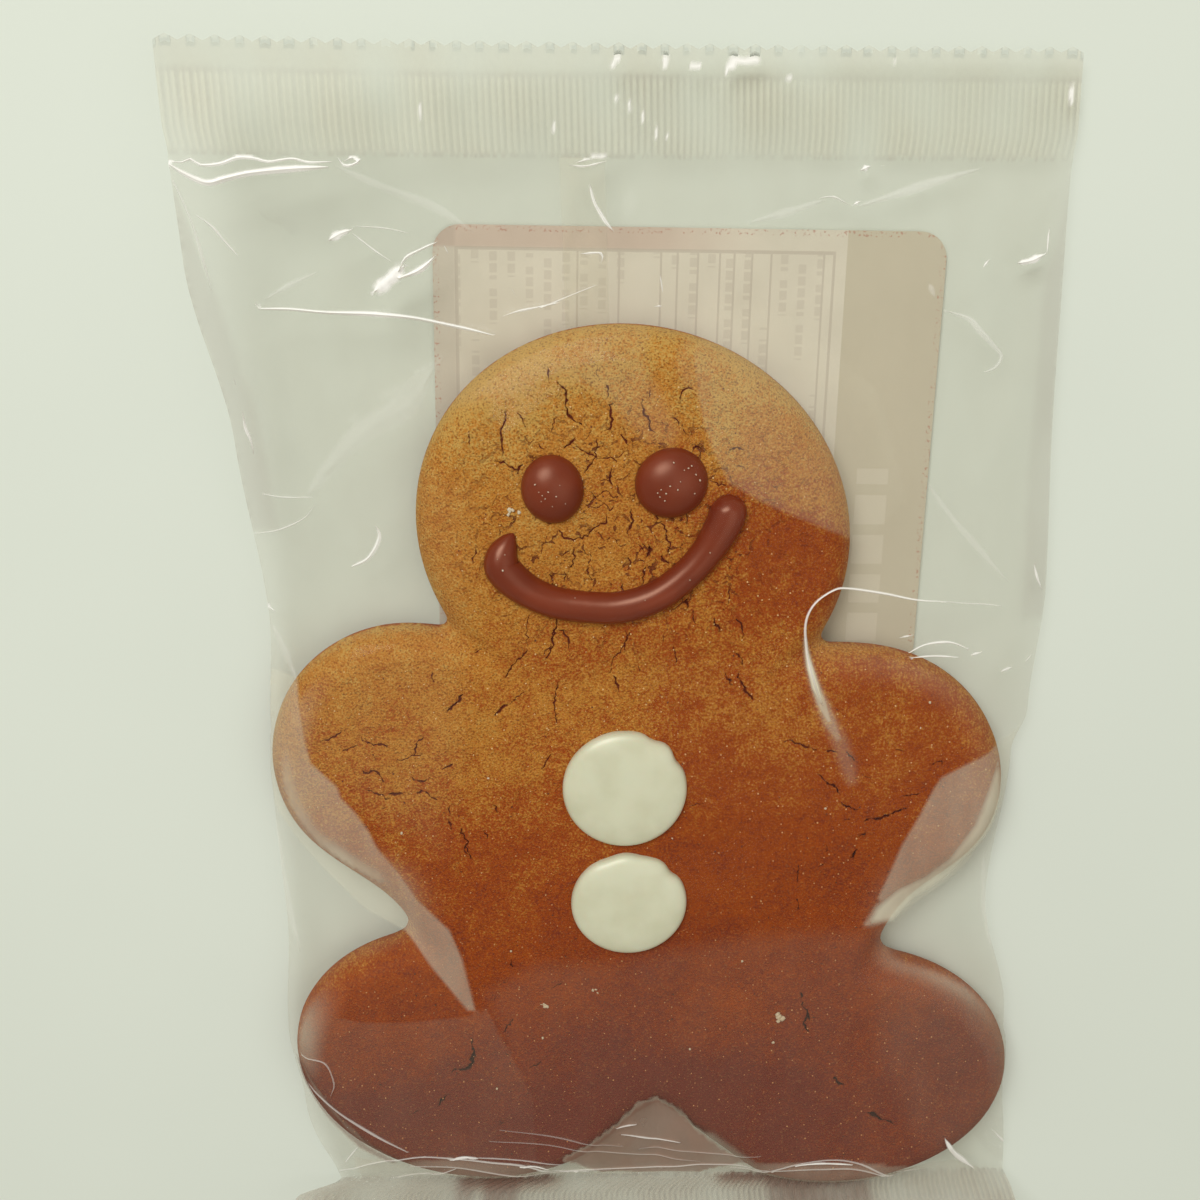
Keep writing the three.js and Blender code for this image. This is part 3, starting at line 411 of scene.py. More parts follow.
# Sugar that fell on the dough: x, y, length and breadth.
FLECKS = (
    (-19.1, 30.7, 1.6, 0.9), (-17.5, -52.8, 1.9, 0.9), (-9.1, -50.4, 1.2, 1), (21.3, -56.3, 1.9, 1.6),
    (-18.1, -59, 0.6, 0.4), (6.4, -62, 0.5, 0.4), (20.3, -61.2, 0.6, 0.5), (-26.2, -68.6, 0.5, 0.4),
    (15.1, -45.6, 0.5, 0.5), (-22.6, -42.5, 0.4, 0.4), (-24.7, -11.8, 0.5, 0.4), (4, -23.1, 0.5, 0.4),
    (28.2, -18.7, 0.5, 0.4), (-38.9, -20.8, 0.6, 0.4), (44, -1.3, 0.5, 0.4), (42.7, -5.5, 0.4, 0.3),
)

# Sugar dust that settled on the eyes and the smile: x and y.
DUST = (
    (-14.3, 33.7), (-14.5, 32.8), (-13.9, 33.2), (-12.9, 32), (-15.3, 35.3), (-13.4, 34.2), (-11, 32.3),
    (-11.7, 35.1), (-12.3, 33.5), (-14.8, 34.2), (2.4, 33.6), (2.9, 34.1), (3.6, 33.5), (2.7, 33),
    (4.2, 34.6), (5.7, 35.2), (6.3, 36.8), (6.9, 37), (8, 36), (7.4, 37.3), (7.8, 33.2), (4.8, 37.9),
    (3.4, 32.4), (5.3, 34), (8.6, 35.1), (10, 24.2), (-21.3, 24.2), (-20.2, 24.8), (-10.1, 17.8),
    (0.3, 17.2), (7, 20.1), (-20.6, 22.5),
)

# The smile's centre line from its left end to its right: x, y and half width.
SMILE = (
    (-18.9, 27.5, 0.9), (-19.8, 26.1, 1.6), (-20.7, 24.2, 2.4), (-20.8, 22.3, 2.75), (-19.2, 20.2, 2.7),
    (-16.6, 18.2, 2.5), (-13.1, 16.6, 2.45), (-8.7, 15.8, 2.45), (-4.3, 15.5, 2.45), (-0.3, 16.2, 2.45),
    (3.3, 17.8, 2.4), (6.9, 20.6, 2.35), (9.7, 23.8, 2.4), (11.7, 27, 2.65), (12.9, 29.8, 2.75),
    (13.2, 32.4, 2.3),
)

# ---- Curves and swells ----


def linear(code):
    """A colour such as "#c08040" as the linear red, green and blue that shaders mix."""
    parts = [int(code[place : place + 2], 16) / 255 for place in (1, 3, 5)]
    return tuple(part / 12.92 if part <= 0.04045 else ((part + 0.055) / 1.055) ** 2.4 for part in parts)


def mix(low, high, share):
    return low + (high - low) * share


def ease(value, low, high):
    """Rises smoothly from 0 at low to 1 at high."""
    share = np.clip((value - low) / (high - low), 0, 1)
    return share * share * (3 - 2 * share)


def smooth_min(one, other, blend):
    near = np.maximum(blend - np.abs(one - other), 0) / blend
    return np.minimum(one, other) - near * near * blend / 4


def smooth_max(one, other, blend):
    return -smooth_min(-one, -other, blend)


def waves(x, y, length, seed, count=16):
    """Smooth random swells of about that wavelength, with a spread of 1 about 0."""
    draw = np.random.default_rng(seed)
    heading = draw.uniform(0, math.tau, count)
    phase = draw.uniform(0, math.tau, count)
    pitch = math.tau / (length * draw.uniform(0.7, 1.4, count))
    total = np.zeros(np.shape(x))
    for turn, start, rate in zip(heading, phase, pitch):
        total += np.cos((x * math.cos(turn) + y * math.sin(turn)) * rate + start)
    return total / math.sqrt(count / 2)


def bell(x, y, middle_x, middle_y, half_x, half_y):
    """A smooth mound of height 1 about a middle."""
    return np.exp(-(((x - middle_x) / half_x) ** 2) - ((y - middle_y) / half_y) ** 2)


def within_stretches(x, stretches, soft):
    """1 between the two ends of each stretch of x, else 0, with ends that soft."""
    total = 0
    for low, high in stretches:
        total = total + ease(x, low - soft, low + soft) * (1 - ease(x, high - soft, high + soft))
    return total


# ---- The cookie's outline ----


def ellipse_distance(x, y, ellipse):
    middle_x, middle_y, half_x, half_y, turn = ellipse
    cosine, sine = math.cos(math.radians(turn)), math.sin(math.radians(turn))
    u = ((x - middle_x) * cosine + (y - middle_y) * sine) / half_x
    v = ((y - middle_y) * cosine - (x - middle_x) * sine) / half_y
    reach = np.hypot(u, v) + 1e-6
    return (reach - 1) * reach / np.maximum(np.hypot(u / half_x, v / half_y), 1e-6)


def cookie_distance(x, y):
    """Distance from the gingerbread man's outline, negative on the cookie."""
    distance = ellipse_distance(x, y, TORSO)
    for limb, blend in LIMBS:
        distance = smooth_min(distance, ellipse_distance(x, y, limb), blend)
    notch_x, notch_y, slope = CROTCH
    notch = (notch_y - slope * np.abs(x - notch_x) - y) / math.hypot(1, slope)
    return smooth_max(distance, notch, 0.8)


def onto_outline(points, inset):
    """Moves points straight in or out until they lie that far inside the outline."""
    step = 1e-3
    for _ in range(4):
        x, y = points[:, 0], points[:, 1]
        off = cookie_distance(x, y)
        ahead = [cookie_distance(x + step, y) - off, cookie_distance(x, y + step) - off]
        slope = np.stack(ahead, 1) / step
        points = points - slope * ((off + inset) / (slope**2).sum(1))[:, None]
    return points, slope / np.linalg.norm(slope, axis=1)[:, None]


@lru_cache(maxsize=None)
def cookie_outline(spacing):
    """Even points round the outline, anticlockwise from the top of the head."""
    point, outward = onto_outline(np.array([[-1.0, 57.0]]), 0)
    points = [point[0]]
    while len(points) < 10 or np.linalg.norm(points[-1] - points[0]) > spacing * 0.8:
        ahead = np.array([[-outward[0, 1], outward[0, 0]]])
        point, outward = onto_outline(point + ahead * spacing, 0)
        points.append(point[0])
    return np.array(points)


@lru_cache(maxsize=None)
def cookie_reach():
    """How far the cookie reaches left and right, in steps along y."""
    outline = cookie_outline(OUTLINE_STEP)
    steps = np.arange(-100, 70, 0.5)
    left, right = np.zeros(len(steps)), np.zeros(len(steps))
    for place, y in enumerate(steps):
        near = outline[np.abs(outline[:, 1] - y) < 1.2, 0]
        if near.size:
            left[place], right[place] = near.min(), near.max()
    return steps, left, right


# ---- Heights of the cookie and the film ----


def cookie_profile(inside):
    """Height of the smooth top that far inside the outline."""
    share = np.clip(inside / SHOULDER, 0, 1)
    return COOKIE_WAIST + (COOKIE_TOP - COOKIE_WAIST) * np.sqrt(1 - (1 - share) ** 2)


def cookie_underside(inside):
    """Height of the underside that far inside the outline."""
    share = np.clip(inside / LOWER_ROUND, 0, 1)
    return COOKIE_WAIST - (COOKIE_WAIST - COOKIE_BASE) * np.sqrt(1 - (1 - share) ** 2)


def film_sides(y):
    """Left and right side of the tube of film at y."""
    table = np.array(CREASES[::-1], float)
    place = np.clip(np.searchsorted(table[:, 0], y, side="right") - 1, 0, len(table) - 2)
    low, high = table[place], table[place + 1]
    share = ease(y, low[:, 0], high[:, 0])
    steps, cookie_left, cookie_right = cookie_reach()
    left_limit = np.interp(y, steps, cookie_left) - SIDE_CLEARANCE
    right_limit = np.interp(y, steps, cookie_right) + SIDE_CLEARANCE
    left = np.minimum(mix(low[:, 1], high[:, 1], share), left_limit)
    right = np.maximum(mix(low[:, 2], high[:, 2], share), right_limit)
    return left, right


def fold_y(x):
    return FOLD_Y + FOLD_SKEW * x


def seal_root_y(x):
    return SEAL_ROOT_Y + SEAL_SKEW * x


def seam_height(x, y):
    """Height of the line where the front and back sheets meet."""
    share = np.clip((SEAL_WIDTH / 2 - x) / SEAL_WIDTH, 0, 1)
    curled = SEAL_HEIGHT + SEAL_CURL * share**CURL_SHARPNESS
    side = mix(FOOT_HEIGHT, EDGE_HEIGHT, ease(y, FOLD_Y, FOLD_Y + FOOT_RISE))
    return mix(side, curled, ease(y, 0, SEAL_ROOT_Y))


def edge_distances(x, y):
    """Distance inwards from the sides alone, and from the whole rim of the bag."""
    left, right = film_sides(y)
    sides = np.minimum(x - left, right - x)
    ends = np.minimum(y - fold_y(x), seal_root_y(x) - y)
    return np.maximum(sides, 0), np.maximum(np.minimum(sides, ends), 0)


def sheet_gap(from_side):
    return SHEET_GAP * ease(from_side, 0, 1)


def tent_lift(x, y):
    lift = np.zeros(np.shape(x))
    for pole_x, pole_y, radius, height in POLES:
        away = np.maximum(np.hypot(x - pole_x, y - pole_y) - radius, 0)
        lift = smooth_max(lift, height - TENT_SLOPE * away, TENT_BLEND)
    return lift


def label_distance(x, y):
    """Distance from the label's rounded edge, negative on it."""
    cosine, sine = math.cos(LABEL_TURN), math.sin(LABEL_TURN)
    u = np.abs((x - LABEL_X) * cosine + (y - LABEL_Y) * sine) - LABEL_WIDTH / 2 + LABEL_CORNER
    v = np.abs((y - LABEL_Y) * cosine - (x - LABEL_X) * sine) - LABEL_LENGTH / 2 + LABEL_CORNER
    return np.hypot(np.maximum(u, 0), np.maximum(v, 0)) + np.minimum(np.maximum(u, v), 0) - LABEL_CORNER


def film_front(x, y, slack):
    """The front sheet: it hugs the cookie and spans from its shoulder to the rim."""
    outside = cookie_distance(x, y)
    from_side, edge = edge_distances(x, y)
    rim = seam_height(x, y)
    span = mix(rim, COOKIE_TOP - LIFT_OFF_DROP, edge / (edge + np.maximum(outside + LIFT_OFF, 0) + 1e-6))
    resting = cookie_profile(-outside) + FILM_GAP
    held = np.where(outside < 0, smooth_max(span, resting, DRAPE_BLEND), span)
    held += tent_lift(x, y) * ease(-outside, 0, 2 * SHOULDER)
    loose = ease(outside, 0.5, 8) * ease(edge, 0.3, 5)
    gathers = waves(x, y / 4, 5.5, 3) * np.exp(-np.maximum(seal_root_y(x) - y, 0) / 7) * ease(edge, 0.2, 2)
    swell = sum(height * waves(x, y / stretch, length, seed) for height, stretch, length, seed in SWELLS)
    free = held + slack * (swell * loose + 0.3 * gathers)
    lowest = film_back(x, y) + 0.4 * ease(edge, 0, 3)
    return smooth_max(free, lowest, 0.01 + 0.8 * ease(edge, 0, 6)) + sheet_gap(from_side)


def film_back(x, y):
    """The back sheet: flat on the table or the label, and drawn up to the rim."""
    outside = cookie_distance(x, y)
    from_side, edge = edge_distances(x, y)
    reach = BACK_RISE + HEAD_RISE * ease(y, 45, 80)
    rise = seam_height(x, y) * (1 - ease(edge, 0, reach)) ** BACK_CURVE
    under = cookie_underside(-outside) - UNDER_GAP
    low = np.where(outside < 0, np.minimum(rise, under), rise)
    rest = mix(OVER_LABEL, OVER_TABLE, ease(label_distance(x, y), 0.4, 2.2))
    return np.maximum(low, rest) - sheet_gap(from_side)


# ---- Lines on a sheet ----


def smooth_line(points, spacing):
    """A curve through all points, cut into even steps."""
    points = np.array(points, float)
    padded = np.vstack([2 * points[0] - points[1], points, 2 * points[-1] - points[-2]])
    found = []
    for place in range(1, len(padded) - 2):
        a, b, c, d = padded[place - 1 : place + 3]
        for t in np.linspace(0, 1, max(int(np.linalg.norm(c - b) / spacing), 1), endpoint=False):
            bend = 2 * a - 5 * b + 4 * c - d + t * (3 * (b - c) + d - a)
            found.append(b + 0.5 * t * (c - a + t * bend))
    return np.array(found + [points[-1]])


def side_normals(line):
    ahead = np.gradient(line, axis=0)
    return np.stack([-ahead[:, 1], ahead[:, 0]], 1) / np.linalg.norm(ahead, axis=1)[:, None]


def beside(line, offset):
    return line + side_normals(line) * np.reshape(offset, (-1, 1))


def from_runs(points, start, run):
    """From each point to each straight run: the place along it, the distance and the offset."""
    offset = points[:, None] - start
    along = np.clip((offset * run).sum(2) / (run * run).sum(1), 0, 1)
    return along, np.linalg.norm(offset - along[..., None] * run, axis=2), offset


def near_line(points, line, half):
    """For each point near a line: its index, and 1 on the line down to 0 at half a width away."""
    reach = float(np.max(half))
    inside = (points > line.min(0) - reach) & (points < line.max(0) + reach)
    index = np.flatnonzero(inside.all(1))
    along, away, _ = from_runs(points[index], line[:-1], np.diff(line, axis=0))
    width = mix(half[:-1], half[1:], along)
    return index, np.clip(1 - away / width, 0, 1).max(1)


def polygon_distance(points, corners):
    """Distance from a closed outline, negative inside it."""
    start = np.array(corners, float)
    run = np.roll(start, -1, 0) - start
    _, away, offset = from_runs(points, start, run)
    away = away.min(1)
    above = points[:, 1:] > start[:, 1]
    crosses = above != np.roll(above, -1, 1)
    side = offset[..., 0] * run[:, 1] < offset[..., 1] * run[:, 0]
    inside = (crosses & (side == (run[:, 1] > 0))).sum(1) % 2 == 1
    return np.where(inside, -away, away)


def patch_share(points, corners, softness):
    """1 inside a closed outline and 0 outside it, with a rim that soft."""
    return 1 - ease(polygon_distance(points, corners), -softness, softness)


# ---- Meshes ----


def lattice(spacing, low, high, draw):
    """Points of an even triangular grid, each shaken a little."""
    rows = np.arange(low[1], high[1], spacing * math.sqrt(0.75))
    across = np.arange(low[0], high[0], spacing)
    x = across[None, :] + spacing / 2 * (np.arange(len(rows)) % 2)[:, None]
    points = np.stack([x, np.broadcast_to(rows[:, None], x.shape)], 2).reshape(-1, 2)
    return points + draw.uniform(-0.12, 0.12, points.shape) * spacing


def points_on_cookie(spacing, inset, seed):
    """Points of a shaken grid that lie that far inside the cookie's outline."""
    outline = cookie_outline(OUTLINE_STEP)
    points = lattice(spacing, outline.min(0), outline.max(0), np.random.default_rng(seed))
    return points[cookie_distance(points[:, 0], points[:, 1]) < -inset]


def triangulate(outline, inner, lines):
    """Triangles over the area in a closed outline, through all inner points and along all lines."""
    count = len(outline)
    edges = [(place, (place + 1) % count) for place in range(count)]
    parts, count = [outline, inner], count + len(inner)
    for line in lines:
        edges += [(count + place, count + place + 1) for place in range(len(line) - 1)]
        parts.append(line)
        count += len(line)
    corners = [Vector(point) for point in np.concatenate(parts).tolist()]
    found = delaunay_2d_cdt(corners, edges, [], 0, 1e-5, False)
    points, faces = np.array(found[0], float), np.array(found[2])
    a, b, c = (points[faces[:, corner]] for corner in range(3))
    turned = (b - a)[:, 0] * (c - a)[:, 1] < (b - a)[:, 1] * (c - a)[:, 0]
    faces[turned] = faces[turned][:, ::-1]
    # A face that only touches the outline may fill one of its hollows from outside.
    touching = np.flatnonzero((faces < len(outline)).all(1))
    outside = polygon_distance(points[faces[touching]].mean(1), outline) > 0
    return points, np.delete(faces, touching[outside], 0)


def link_object(name, data=None):
    """A new object of the scene, at the origin; without data it gets an empty mesh."""
    made = bpy.data.objects.new(name, data or bpy.data.meshes.new(name))
    bpy.context.scene.collection.objects.link(made)
    return made


def set_values(mesh, name, values):
    layer = mesh.attributes.new(name, "FLOAT", "POINT")
    layer.data.foreach_set("value", values.astype(np.float32))


def make_piece(name, sheets, material, weld=0.0):
    """One smooth mesh from sheets of millimetre points, faces and named values at the points."""
    vertices, faces, start = [], [], 0
    for points, corners, _ in sheets:
        vertices.append(points)
        faces += [[start + corner for corner in face] for face in corners]
        start += len(points)
    mesh = bpy.data.meshes.new(name)
    mesh.from_pydata((np.concatenate(vertices) * MM).tolist(), [], faces)
    for value in sheets[0][2]:
        set_values(mesh, value, np.concatenate([sheet[2][value] for sheet in sheets]))
    if weld:
        shape = bmesh.new()
        shape.from_mesh(mesh)
        bmesh.ops.remove_doubles(shape, verts=shape.verts, dist=weld * MM)
        shape.to_mesh(mesh)
        shape.free()
    mesh.shade_smooth()
    mesh.materials.append(material)
    return link_object(name, mesh)


def finish_piece(piece):
    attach(piece, "root")


# ---- Nodes ----


def add(tree, kind, inputs=None, **settings):
    """Adds a node with its settings; an input is a value or another node's output."""
    node = tree.nodes.new(kind)
    for name, value in settings.items():
        setattr(node, name, value)
    for socket, value in (inputs or {}).items():
        if isinstance(value, bpy.types.NodeSocket):
            tree.links.new(value, node.inputs[socket])
        else:
            node.inputs[socket].default_value = value
    return node


def calculate(tree, operation, *values):
    return add(tree, "ShaderNodeMath", dict(enumerate(values)), operation=operation).outputs[0]


def product(tree, *values):
    result = values[0]
    for value in values[1:]:
        result = calculate(tree, "MULTIPLY", result, value)
    return result


def split(tree, vector):
    """The x, y and z outputs of a vector."""
    return add(tree, "ShaderNodeSeparateXYZ", {0: vector}).outputs


# ---- Materials ----


def new_material(name):
    material = bpy.data.materials.new(name)
    material.use_nodes = True
    material.node_tree.nodes.clear()
    return material, material.node_tree


def blended(tree, share, low, high):
    """The colour between two colours or colour outputs."""
    mixer = add(tree, "ShaderNodeMix", {0: share}, data_type="RGBA")
    for socket, value in ((6, low), (7, high)):
        if isinstance(value, bpy.types.NodeSocket):
            tree.links.new(value, mixer.inputs[socket])
        else:
            mixer.inputs[socket].default_value = (*value, 1)
    return mixer.outputs[2]


def ramped(tree, value, low, high, top=1.0):
    """A value rising from 0 at low to top at high, held outside."""
    limits = {"Value": value, "From Min": low, "From Max": high, "To Max": top}
    return add(tree, "ShaderNodeMapRange", limits, interpolation_type="SMOOTHSTEP").outputs[0]


def object_place(tree):
    return add(tree, "ShaderNodeTexCoord").outputs["Object"]


def noise_on(tree, size, detail=2.0, stretch=(1, 1, 1)):
    """Cloudy noise whose blotches are about that many millimetres across."""
    scaled = add(tree, "ShaderNodeMapping", {"Vector": object_place(tree), "Scale": stretch})
    inputs = {"Vector": scaled.outputs[0], "Scale": 1 / (size * MM), "Detail": detail}
    return add(tree, "ShaderNodeTexNoise", inputs).outputs[0]


def value_of(tree, name):
    return add(tree, "ShaderNodeAttribute", attribute_name=name).outputs["Fac"]


def bumped(tree, height, depth, strength=1.0):
    """The normal of a surface that rises with a value."""
    inputs = {"Strength": strength, "Distance": depth, "Height": height}
    return add(tree, "ShaderNodeBump", inputs).outputs[0]


def finish_material(tree, inputs, shader="ShaderNodeBsdfPrincipled"):
    """Ends a material in one shader with these inputs."""
    surface = add(tree, shader, inputs)
    add(tree, "ShaderNodeOutputMaterial", {"Surface": surface.outputs[0]})


def gingerbread_material(cookie):
    """Gingerbread, rolled and baked: a dry matt crumb, golden where it is pale and red-brown where
    it has taken more heat, with painted light in that tone, sugar-fine light and dark grains and a
    crazed skin."""
    material, tree = new_material("baked_gingerbread")
    # Patches of 7 mm, mottles of 1.5 mm and single grains each took the heat differently.
    browning_with_painted_light, uneven = value_of(tree, "browning_with_painted_light"), -0.71  # half the three reaches, so that they even out
    for size, detail, reach in ((7, 3, 0.36), (1.5, 3, 0.34), (0.36, 2, 0.72)):
        patch = ramped(tree, noise_on(tree, size, detail), 0.3, 0.7, reach)
        uneven = calculate(tree, "ADD", patch, uneven)
    # The deep crust is more even.
    calm = calculate(tree, "SUBTRACT", 1.0, ramped(tree, browning_with_painted_light, 1.0, 1.4, 0.55))
    tone_with_painted_light = calculate(tree, "ADD", browning_with_painted_light, product(tree, uneven, calm))
    # The crust's colour runs from pale to deep with the tone, which holds painted light: paler at the brow,
    # darker towards the feet.
    crust = cookie.pale
    crusts = ((-0.7, 0.0, cookie.golden), (0.0, 1.0, cookie.browned), (0.9, 2.0, cookie.deep))
    for low, high, colour in crusts:
        crust = blended(tree, ramped(tree, tone_with_painted_light, low, high), crust, colour)
    # Sugar and flour grains of the dough, about 0.3 mm, show less where the crust has browned.
    grain = noise_on(tree, 0.3, 3)
    shown = calculate(tree, "SUBTRACT", 1.0, ramped(tree, tone_with_painted_light, 0.0, 1.1, 0.75))
    grains = ((0.54, 0.7, 0.55, cookie.grain_light), (0.47, 0.32, 0.6, cookie.grain_dark))
    for low, high, top, colour in grains:
        crust = blended(tree, product(tree, ramped(tree, grain, low, high, top), shown), crust, colour)
    # The skin is crazed in flakes about 3 mm across, with edges bent by up to 2 mm.
    place = object_place(tree)
    shaken = add(tree, "ShaderNodeTexNoise", {"Vector": place, "Scale": 500.0, "Detail": 2.0})
    bends = {0: shaken.outputs["Color"], 1: (0.0022,) * 3}
    bent = add(tree, "ShaderNodeVectorMath", bends, operation="MULTIPLY")
    moved = add(tree, "ShaderNodeVectorMath", {0: place, 1: bent.outputs[0]}).outputs[0]
    flakes = add(tree, "ShaderNodeTexVoronoi", {"Vector": moved, "Scale": 340.0}, feature="DISTANCE_TO_EDGE")
    # The gaps between them open and close every millimetre or so.
    opened = ramped(tree, noise_on(tree, 1.1, 2), 0.42, 0.66, 0.075)
    near = calculate(tree, "SUBTRACT", flakes.outputs["Distance"], opened)
    craze = product(tree, ramped(tree, near, 0.0, -0.02), value_of(tree, "craze"))
    # The gaps between the flakes and the cracks are painted dark: painted shade in the grooves, darkest in
    # the deep crust.
    crazed = blended(tree, craze, crust, cookie.crack)
    inner = blended(tree, ramped(tree, tone_with_painted_light, 0.5, 1.5), cookie.crack, cookie.crack_deep)
    surface = blended(tree, ramped(tree, value_of(tree, "crack"), 0.0, 0.55), crazed, inner)
    normal = bumped(tree, calculate(tree, "SUBTRACT", grain, craze), 0.0004)
    inputs = {"Base Color": surface, "Roughness": 0.82, "Specular IOR Level": 0.25, "Normal": normal}
    finish_material(tree, inputs)
    return material


def icing_material(name, body, rim, sheen, roughness, subsurface, mottle):
    """Set icing: a smooth satin skin over a dense body, a little cloudy and faintly uneven."""
    material, tree = new_material(name)
    cloud = ramped(tree, noise_on(tree, mottle, 3), 0.3, 0.75)
    inputs = {
        "Base Color": blended(tree, cloud, body, rim),
        "Roughness": roughness,
        "Specular Tint": (*sheen, 1),
        "Specular IOR Level": 0.8,
        "Subsurface Weight": subsurface,
        "Subsurface Scale": 0.001,
        "Normal": bumped(tree, noise_on(tree, 1.6, 2), 0.0002, 0.12),
    }
    finish_material(tree, inputs)
    return material


def crumb_material(name, body, toasted_and_shaded, span):
    """Sugar and flour: dull little crystals that darken with the crust from one y to the other, by toasting
    and by painted shade.
    """
    material, tree = new_material(name)
    tone_with_painted_light = ramped(tree, split(tree, object_place(tree))[1], span[0] * MM, span[1] * MM, 0.7)
    uneven = ramped(tree, noise_on(tree, 2, 1), 0.35, 0.65, 0.3)
    colour = blended(tree, calculate(tree, "ADD", tone_with_painted_light, uneven), linear(body), linear(toasted_and_shaded))
    finish_material(tree, {"Base Color": colour, "Roughness": 0.6})
    return material


def film_material(film):
    """Clear biaxially drawn polypropylene film: see-through and glossy where it clings, milky in
    places with painted reflections and painted shade, and with painted glints along its sharp folds."""
    material, tree = new_material("clear_polypropylene_film")
    haze_and_painted_light = value_of(tree, "haze_and_painted_light")
    drawn = product(tree, haze_and_painted_light, ramped(tree, noise_on(tree, 5, 3, (1, 0.35, 1)), 0.25, 0.8, 0.35))
    haze_and_light_share = add(tree, "ShaderNodeMath", {0: haze_and_painted_light, 1: drawn}, operation="ADD", use_clamp=True).outputs[0]
    # The diffuse layer is pale where the film is hazy or shows a painted reflection of the pale room, and
    # brown where it shows a painted reflection of the cookie or painted shade.
    milk_and_reflection = blended(tree, value_of(tree, "brown_shade_and_reflection"), film.milk_and_reflection, film.smoke)
    # Only a little gloss, or the soft lights would lay a sheen over all of it.
    gloss_share = product(tree, add(tree, "ShaderNodeFresnel", {"IOR": 1.49}).outputs[0], 0.09)
    through = add(tree, "ShaderNodeBsdfTransparent", {"Color": (*film.tint, 1)}).outputs[0]
    # Over it, the painted glints along the folds in white.
    layers = (
        (haze_and_light_share, "ShaderNodeBsdfDiffuse", {"Color": milk_and_reflection}),
        (value_of(tree, "glint"), "ShaderNodeBsdfDiffuse", {"Color": (*film.glint_white, 1)}),
    )
    for share, kind, inputs in layers:
        layer = add(tree, kind, inputs).outputs[0]
        through = add(tree, "ShaderNodeMixShader", {0: share, 1: through, 2: layer}).outputs[0]
    gloss = add(tree, "ShaderNodeBsdfGlossy", {"Roughness": 0.09}).outputs[0]
    finish_material(tree, {0: gloss_share, 1: through, 2: gloss}, "ShaderNodeMixShader")
    return material


def bars(tree, value, period, width):
    """1 on stripes of that width, once a period, else 0."""
    return calculate(tree, "LESS_THAN", calculate(tree, "FLOORED_MODULO", value, period), width)


def between(tree, value, low, high):
    """1 where the value lies from low to high, else 0."""
    return calculate(tree, "COMPARE", value, (low + high) / 2, (high - low) / 2)


def in_box(tree, u, v, left, right, low, high):
    return product(tree, between(tree, u, left, right), between(tree, v, low, high))


def label_material(label):
    """Coated label paper, printed with a tinted panel, thin rules and rows of bars."""
    material, tree = new_material("coated_label_paper")
    turned = {"Location": (LABEL_X * MM, LABEL_Y * MM, 0), "Rotation": (0, 0, LABEL_TURN), "Scale": (MM,) * 3}
    inputs = {"Vector": object_place(tree), **turned}
    own = add(tree, "ShaderNodeMapping", inputs, vector_type="TEXTURE").outputs[0]
    u, v = split(tree, own)[:2]
    pitch = label.row_pitch / MM
    # Rows of bars in a ruled table, each row slid along by an amount of its own.
    row = calculate(tree, "FLOOR", calculate(tree, "DIVIDE", u, pitch))
    jumble = add(tree, "ShaderNodeTexWhiteNoise", {"W": row}, noise_dimensions="1D").outputs["Value"]
    slid = calculate(tree, "ADD", v, product(tree, jumble, 17.0))
    # Bars as long as letters, broken up as by words and lines: period and length.
    spans = ((1.7, 1.3), (8.9, 7.6), (47, 36))
    letters = product(tree, *(bars(tree, slid, period, width) for period, width in spans))
    table = in_box(tree, u, v, -34.3, 21.3, -45, 47.0)
    words = product(tree, table, product(tree, bars(tree, u, pitch, 1.1), letters, 0.55))
    frame_line = calculate(tree, "SUBTRACT", table, in_box(tree, u, v, -33.8, 20.9, -44.5, 46.5))
    ink = calculate(tree, "MAXIMUM", frame_line, words)
    for place in LABEL_RULES:
        rule = product(tree, table, between(tree, u, place - 0.15, place + 0.15))
        ink = calculate(tree, "MAXIMUM", ink, rule)
    title = product(tree, between(tree, u, 26.6, 31.4), bars(tree, v, 6.3, 4.6), between(tree, v, -46, 15))
    # Specks of red ink along the cut edge.
    specks = add(tree, "ShaderNodeTexNoise", {"Vector": own, "Scale": 2.2, "Detail": 2.0}).outputs[0]
    edge = calculate(tree, "SUBTRACT", 1.0, in_box(tree, u, v, -36.6, 36.6, -49.1, 49.1))
    # Each tint over the ones before it.
    tints = (
        (ramped(tree, noise_on(tree, 9, 2), 0.3, 0.7), label.paper_aged),
        (between(tree, u, 22.9, 40), label.panel),
        (product(tree, title, 0.4), label.paper),
        (product(tree, ramped(tree, v, 46.6, 47.2), ramped(tree, u, 14, -8, 0.3)), label.register_red),
        (ramped(tree, u, -33.8, -34.6, 0.28), label.ink),
        (product(tree, ink, 0.38), label.ink),
        (product(tree, edge, ramped(tree, specks, 0.56, 0.68, 0.6)), label.register_red),
    )
    colour = label.paper
    for share, tint in tints:
        colour = blended(tree, share, colour, tint)
    normal = bumped(tree, noise_on(tree, 0.35, 2), 0.0001, 0.15)
    finish_material(tree, {"Base Color": colour, "Roughness": 0.7, "Normal": normal})
    return material


def table_material(stage):
    """A plain pale table top with a dull, even finish."""
    material, tree = new_material("pale_table_top")
    colour = blended(tree, ramped(tree, noise_on(tree, 60, 2), 0.3, 0.7, 0.3), stage.floor, stage.floor_shade)
    finish_material(tree, {"Base Color": colour, "Roughness": 0.9})
    return material


# ---- Geometry node trees ----


